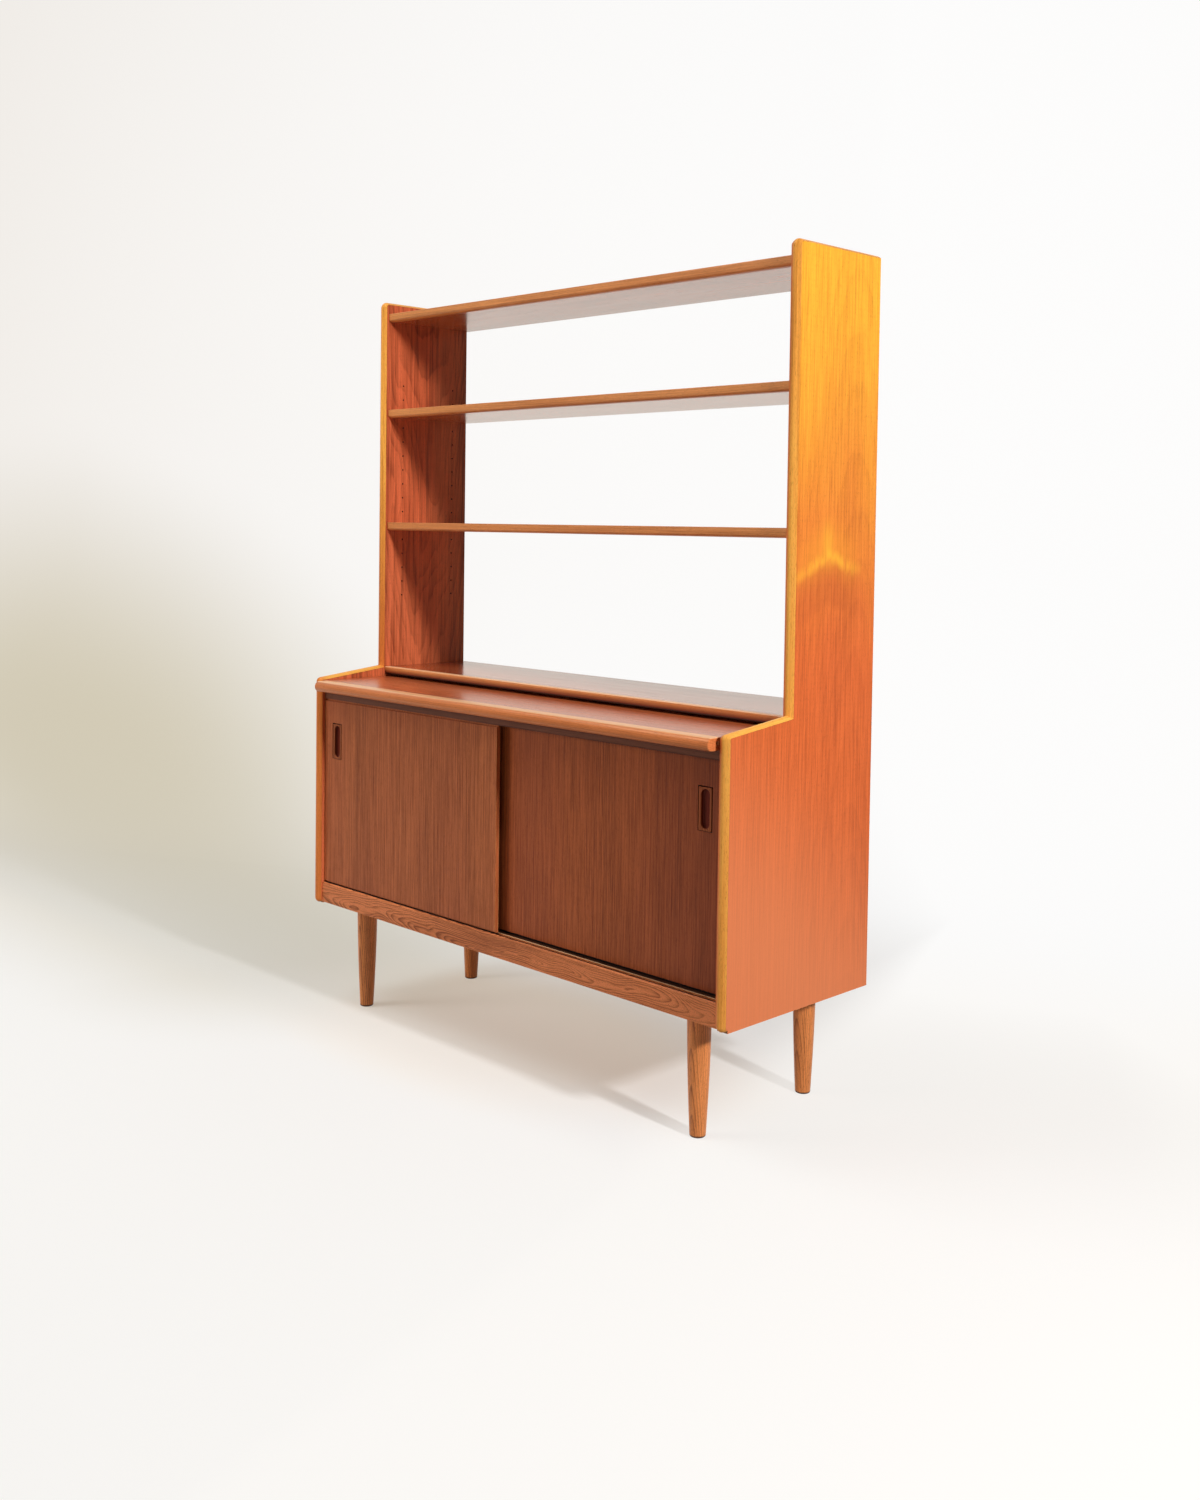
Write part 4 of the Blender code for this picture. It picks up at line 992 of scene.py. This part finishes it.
def crotch(made):
    """Adds the arch, its dark heart and the pale streak to the right side's outer face."""
    plain = made.colour
    _, y, z = made.at()
    y = wavered(made, y, 0.07)
    left = made.most(made.sub(ARCH_MIDDLE, y), 0.0)
    right = made.most(made.sub(y, ARCH_MIDDLE), 0.0)
    rise = made.sub(wavered(made, z, 0.05), ARCH_HEIGHT)
    rise = made.mad(right, 0.24, made.mad(left, 0.48, rise))
    near = made.fade(made.add(left, right), 0.03, 0.15)
    patchy = made.smooth(made.drawn_out(made.source, (60.0, 60.0, 25.0), 3.0), 0.3, 0.6)
    pale = made.mul(made.mul(line(made, rise, 0.020), near), patchy)
    flame = line(made, made.sub(y, ARCH_MIDDLE + 0.002), 0.026)
    flame = made.mul(flame, band(made, z, 1.01, 1.07, 0.03))
    halo = made.mul(line(made, made.sub(rise, 0.02), 0.07), near)
    heart = made.mul(band(made, rise, -0.085, -0.008, 0.012), near)
    streak = line(made, made.sub(y, 0.150), 0.0028)
    streak = made.mul(streak, band(made, z, 0.62, 0.84, 0.03))
    foot = made.fade(made.mad(y, 0.6, z), 0.24, 0.72)
    for share, colour, weight in (
        (heart, OUTER[2], 0.30), (halo, FIGURE_AND_LIT_YELLOW[1], 0.30), (flame, FIGURE_AND_LIT_YELLOW[0], 0.30),
        (pale, FIGURE_AND_LIT_YELLOW[0], 0.46), (streak, OUTER[0], 0.45), (foot, paint(222, 130, 84), 0.75),
    ):
        made.over(share, colour, weight)
    made.over(made.flip(outer(made)), plain)


# Painted light: the outer face is blended to a paler, yellower copy towards the top.
made = wood(
    "side_panel_right", "yxz", (0.0, 0.0, 0.0), OUTER, second=(painted_top_light, FIGURE_AND_LIT_YELLOW),
    ring_width=0.0032, side=-0.15, depth=0.02, lean=0.03, wobble=0.010, rings=0.12,
    fibres=0.40, tone=0.10, streaks=0.12, fineness=1.2,
)
crotch(made)
finish_board(made, "yz", 0.2)
# Painted shade: the rear part and the wood towards the platform are blended to a browner copy.
made = wood(
    "side_panel_left", "yxz", (0.0, 0.0, 0.37), INNER, second=(behind, INNER_SHADE_AND_VEIN),
    ring_width=0.0028, side=-0.09, depth=-0.02, lean=0.030, wobble=0.034, rings=0.40,
    fibres=0.44, tone=0.50, streaks=0.55,
)
streaked(made)
finish_board(made, "yz", 0.2)

# %% [markdown]
# ### Shelves, platform and leaf
#
# These lie flat, so the camera sees them at a low angle and the white wall is
# mirrored in their lacquer as a pale haze. A thin coat over the wood does that.

# %% Shelves, platform, leaf and the cabinet's boards
BOARDS = (
    ("top_shelf", SHELF, 0.035, 0.35), ("upper_shelf", SHELF, 0.30, 0.25),
    ("lower_shelf", SHELF, 0.22, 0.25), ("platform", PLATFORM, 0.05, 0.38),
    ("desk_leaf", LEAF, 0.08, 0.30), ("cabinet_top", SHELF, 0.2, 0.25),
    ("cabinet_bottom", SHELF, 0.12, 0.3), ("inner_shelf_left", SHELF, 0.3, 0.25),
    ("inner_shelf_right", SHELF, 0.4, 0.25),
)
for number, (node, look, side, rings) in enumerate(BOARDS):
    made = wood(
        node, "yzx", (0.17 * number, 0.05 * number, 0.61 * number), look,
        ring_width=0.008, side=side, depth=0.06, lean=0.04, wobble=0.05, rings=rings,
        gloss=0.30 if node == "desk_leaf" else 0.20, shine=1.0, coat=0.3, bump=0.15, pores=0.8,
    )
    finish_board(made, "xy", 0.35)

# %% Divider
made = wood("centre_divider", "yxz", (1.3, 0.2, 0.5), SHELF, side=0.3, rings=0.25)
finish_board(made, "y", 0.3)

# %% [markdown]
# ### Doors and rails
#
# The doors are the plainest, darkest wood, cut so that its stripes stand close
# and upright. The openings round the pulls, the doors' feet and the right door's
# closing end get painted shade. The rails' grooves get painted shade, and the
# ridge between them a painted highlight.

# %% Doors
RAIL_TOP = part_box("bottom_rail")[1].z
FOOT_SHADE_HEIGHT = (0.0015, 0.0045)


def painted_end_shade(made):
    """Painted shade towards the right door's closing end."""
    return made.smooth(made.at()[0], 0.36, 0.55)


def painted_foot_shade(made, height):
    """Painted shade along the door's bottom edge."""
    up = made.sub(made.at()[2], RAIL_TOP)
    made.over(made.fade(up, height * 0.6, height * 1.3), paint(24, 6, 3))


def painted_opening_shade(made, pull):
    """Painted shade on the walls of the opening that the pull's block is let into."""
    low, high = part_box(pull)
    margin = Vector((0.001, 0.0, 0.001))
    under = made.vector("SUBTRACT", made.source, low - margin)
    over = made.vector("SUBTRACT", high + margin, made.source)
    near = made.split(made.vector("MINIMUM", under, over))
    near = made.math("GREATER_THAN", made.least(near[0], near[2]), 0.0)
    facing = made.size(made.facing()[1])
    made.over(made.mul(near, made.math("LESS_THAN", facing, 0.5)), paint(30, 10, 6))


for number, label in enumerate(SIDES):
    # Painted shade: the right door darkens towards its closing end.
    made = wood(
        "sliding_door_" + label, "xyz", (1.1 + number, 0.2, 0.3 * number),
        (DOOR_LEFT, DOOR_RIGHT)[number], ring_width=0.006, side=0.9, depth=0.2, lean=0.01,
        wobble=0.012, rings=0.22, fibres=0.80, tone=0.22, streaks=0.12, fineness=1.8,
        hue=(0.25, paint(158, 74, 48)), second=(painted_end_shade, DOOR_END_SHADE),
    )
    # Painted shade on the walls of the pull's opening.
    painted_opening_shade(made, "finger_pull_" + label)
    # Painted shade along the door's foot.
    painted_foot_shade(made, FOOT_SHADE_HEIGHT[number])
    finish_board(made, "", 0.3)

# %% Rails
LIP_END = -0.1830
RIDGE = -0.1706


def painted_track_shade_and_highlight(made):
    """Painted shade on the track's upward faces past the lip, and a painted highlight on the
    ridge's front arris.
    """
    level = made.smooth(made.facing()[2], 0.6, 0.9)
    depth = made.at()[1]
    track_shade = made.mul(level, made.smooth(depth, LIP_END - 0.0006, LIP_END + 0.0006))
    made.over(track_shade, paint(24, 10, 6), 0.95)
    ridge = line(made, made.sub(depth, RIDGE), 0.0036)
    made.over(made.mul(ridge, level), ARRIS_HIGHLIGHT, 0.8)


made = wood(
    "bottom_rail", "zyx", (-0.25, 0.17, 0.0), LIVELY, ring_width=0.0027, side=0.01,
    depth=0.012, lean=0.020, wobble=0.040, rings=1.0, fibres=0.50, tone=0.60, pores=0.8,
    streaks=0.1, sharp=2.0, gloss=0.40, crowd=2.6,
)
# Painted shade in the track and a painted highlight on the ridge.
painted_track_shade_and_highlight(made)
finish_board(made, "", 0.2)
made = wood("upper_rail", "zyx", (0.11, 0.2, 0.9), RAIL)
finish_board(made, "", 0.0)

# %% [markdown]
# ### The hidden woods
#
# What nobody sees is made of cheaper wood: beech for the runners, kickers,
# battens and the leaf's stop, and plywood with a rotary-cut face for the back.

# %% Beech strips, battens and the plywood back
BEECH_NODES = ("leaf_runner_left", "leaf_runner_right", "leaf_kicker_left", "leaf_kicker_right",
               "leg_batten_left", "leg_batten_right", "leaf_stop")
for number, node in enumerate(BEECH_NODES):
    made = wood(
        node, "zyx" if node == "leaf_stop" else "xzy", (0.4 * number, 0.3, 0.2), BEECH,
        ring_width=0.003, side=0.1, rings=0.22, fibres=0.30, tone=0.28, pores=0.35, gloss=0.55,
    )
    finish_board(made, "", 0.2)
made = wood(
    "cabinet_back", "xyz", (0.9, 0.1, 0.3), PLY, ring_width=0.011, side=0.1, depth=0.04,
    lean=0.06, wobble=0.09, rings=0.34, fibres=0.26, tone=0.30, pores=0.3, gloss=0.6,
)
finish_board(made, "xz", 0.2)

# %% [markdown]
# ## Metal
#
# The shelf wires are drawn steel and the screws brass. Metal shows its making
# in fine scratches and a dull film, so roughness and colour vary a little.

# %% Steel and brass
def metal(name, bright, dull, rough):
    """A metal whose film and scratches follow two noises."""
    made = Surface(name)
    film = made.smooth(made.noise(made.source, 260.0, 4.0, 0.65), 0.35, 0.70)
    scratch = made.drawn_out(made.source, (900.0, 90.0, 900.0), 3.0)
    inputs = {"Height": scratch, "Strength": 0.12, "Distance": 0.0001}
    made.set(Metallic=1.0, Base_Color=made.blend(film, bright, dull),
             Roughness=made.mad(scratch, 0.22, rough),
             Normal=made.node("Bump", inputs).outputs["Normal"])
    return made.material


METALS = {
    "_wire": metal("drawn_steel", paint(196, 196, 192), paint(136, 134, 128), 0.24),
    "_screw_": metal("screw_brass", paint(214, 178, 102), paint(150, 112, 58), 0.28),
}
for part, material in METALS.items():
    for node in nodes:
        if part in node:
            dress(node, material)

# %% [markdown]
# ## Floor, backdrop and light
#
# The photograph was taken in a white studio. A pale floor runs back and sweeps
# up into a white wall, and one soft lamp stands high on the right. The wall is
# white to the camera and to reflections, and gives the calm, slightly warm light
# of the room to everything else. It is one-sided, so that a camera behind it
# looks straight through.

# %% The studio's whites
ROOM_LIGHT = (0.12, 0.105, 0.085, 1.0)
WHITE = (1.0, 0.995, 0.99, 1.0)
FLOOR_WHITE = (0.99, 0.965, 0.93, 1.0)
NEAR_WHITE = (1.0, 0.88, 0.74, 1.0)
LEFT_WHITE = (0.88, 0.83, 0.77, 1.0)
SHADE_WHITE = (0.66, 0.60, 0.46, 1.0)
MIRRORED_WHITE = (1.0, 0.90, 0.77, 1.0)
WALL_NORMAL = (0.4432, -0.8964, 0.0)
WALL_DISTANCE = 2.0975
SWEEP = 0.9
SHADE_PLACE = np.array([-3.55, 0.62, 0.25])
SHADE_RUN = np.array([2.60, -0.62, -0.25])
SHADE_REACH = 1.7
SHADE_NARROWING = 0.95


def seen_rays(recipe):
    """1 for camera, mirror and glass rays, 0 for the rays that light surfaces."""
    paths = recipe.node("LightPath").outputs
    seen = recipe.most(paths["Is Camera Ray"], paths["Is Glossy Ray"])
    return recipe.most(seen, paths["Is Transmission Ray"])


def shaded(made):
    """A painted shadow of the bookcase on the wall's foot and the floor at the left: 1 on a line,
    fading with the distance from it.
    """
    from_end = made.vector("SUBTRACT", made.source, tuple(SHADE_PLACE))
    unit = tuple(SHADE_RUN / float(SHADE_RUN @ SHADE_RUN))
    along = made.math("ADD", made.dot(from_end, unit), 0.0, clamp=True)
    nearest = made.vector("MULTIPLY", made.join(along, along, along), tuple(SHADE_RUN))
    gap = made.vector("MULTIPLY", made.vector("SUBTRACT", from_end, nearest), (1.0, 1.0, 1.35))
    reach = made.mad(along, -SHADE_NARROWING, SHADE_REACH)
    gap = made.math("DIVIDE", made.vector("LENGTH", gap), reach)
    return made.mul(made.fade(gap, 0.06, 1.0), made.mad(along, -0.10, 1.0))


# %% The studio's paper
made = Surface("studio_paper")
x, y, _ = made.at()
cloudy = made.noise(made.source, 1.3, 3.0)
made.set(Base_Color=made.blend(cloudy, paint(247, 246, 245), paint(250, 249, 248)),
         Roughness=0.9, Specular_IOR_Level=0.2)
lift = made.smooth(made.mul(made.dot(made.source, WALL_NORMAL), -1.0), -0.4, WALL_DISTANCE)
# Painted light and shade on the paper: a warm painted bounce near the bookcase, painted shade that
# darkens and warms it towards the left, and the painted shadow at the left.
near = made.vector("MULTIPLY", made.vector("ADD", made.source, (0.20, 0.0, 0.0)), (0.9, 1.6, 1.0))
near = made.fade(made.vector("LENGTH", near), 0.30, 0.70)
white = made.blend(made.smooth(lift, 0.0, 0.8), FLOOR_WHITE, WHITE)
for share, colour in (
    (made.smooth(made.mul(x, -1.0), 0.5, 6.0), LEFT_WHITE), (near, NEAR_WHITE),
    (shaded(made), SHADE_WHITE),
    (made.mul(made.node("LightPath").outputs["Is Glossy Ray"], 0.6), MIRRORED_WHITE),
):
    white = made.blend(share, white, colour)
glow = made.node("Emission", {"Color": made.blend(seen_rays(made), ROOM_LIGHT, white)})
# Painted light: to the camera the floor is whiter beside and in front of the bookcase, which washes
# out the lamps' shadows there.
open_side = made.smooth(made.mad(y, 0.6, x), 0.45, 1.7)
beside = made.smooth(made.mad(y, 0.25, x), 0.28, 0.50)
before = made.smooth(made.mul(y, -1.0), 0.20, 0.36)
lit = made.most(made.mul(beside, 0.36), made.mul(before, 0.25))
lit = made.most(made.mul(open_side, 0.50), lit)
share = made.least(made.mad(lift, 0.54, made.add(lit, 0.38)), 0.94)
mixed = made.node("MixShader", {0: share, 1: made.shader.outputs[0], 2: glow.outputs[0]})
back = made.node("NewGeometry").outputs["Backfacing"]
clear = made.node("BsdfTransparent").outputs[0]
sided = made.node("MixShader", {0: back, 1: mixed.outputs[0], 2: clear})
made.feed(made.tree.nodes["Material Output"].inputs["Surface"], sided.outputs[0])
paper = made.material
print("paper", paper.name)


# %% Floor and swept wall
def sheet(name, rows):
    """An open part of the studio, with its front up or to the bookcase."""
    piece = weave(name, rows, paper, False)


REACH = 14.0
WALL_HEIGHT = 8.0
floor_x, floor_y = np.meshgrid([REACH, -REACH], [-REACH, REACH], indexing="ij")
sheet("floor", np.stack((floor_x, floor_y, np.full((2, 2), -0.0002)), -1))
curve = arc((WALL_DISTANCE - SWEEP, SWEEP), SWEEP, -90, 0, 24)
profile = np.concatenate((curve, [[WALL_DISTANCE, WALL_HEIGHT]]))
back_way = -np.array(WALL_NORMAL)
wall_way = np.array([-WALL_NORMAL[1], WALL_NORMAL[0], 0.0])
spread = np.array([-REACH, REACH])
rows = (profile[:, None, :1] * back_way + spread[None, :, None] * wall_way
        + profile[:, None, 1:] * np.array([0.0, 0.0, 1.0]))
sheet("backdrop", rows)

# %% World
world = bpy.data.worlds.new("white_room")
scene.world = world
world.use_nodes = True
recipe = Recipe(world.node_tree)
background = world.node_tree.nodes["Background"]
recipe.feed(background.inputs["Color"], recipe.blend(seen_rays(recipe), ROOM_LIGHT, WHITE))
rise = recipe.split(recipe.node("TexCoord").outputs["Generated"])[2]
dim = recipe.mul(recipe.node("LightPath").outputs["Is Glossy Ray"],
                 recipe.fade(rise, 0.05, 0.75))
recipe.feed(background.inputs["Strength"], recipe.mad(dim, -0.6, 1.0))


# %% Lamps
def soft_box(name, place, target, size, power, colour):
    """A square lamp that faces its target."""
    light = bpy.data.lights.new(name, "AREA")
    light.shape = "SQUARE"
    light.size = size
    light.energy = power
    light.color = colour
    lamp = bpy.data.objects.new(name, light)
    lamp.location = place
    lamp.rotation_euler = (Vector(target) - Vector(place)).to_track_quat("-Z", "Y").to_euler()
    scene.collection.objects.link(lamp)
    return lamp


soft_box("key_lamp", (3.6, -0.41, 1.97), (0.0, 0.0, 0.8), 0.24, 116.0, (0.97, 0.98, 1.0))
soft_box("top_lamp", (-1.3, -1.3, 3.3), (-0.3, -0.4, 0.0), 1.8, 52.0, (0.87, 0.96, 1.0))
fill = soft_box("fill_lamp", (-2.6, -3.3, 1.5), (0.0, 0.0, 0.5), 1.4, 52.0, (1.0, 0.97, 0.93))
fill.visible_glossy = False

# %% [markdown]
# ## Bring the scene up to date
#
# Last, the view layer is updated, so that every object's place is current.

# %% Update the view layer
bpy.context.view_layer.update()
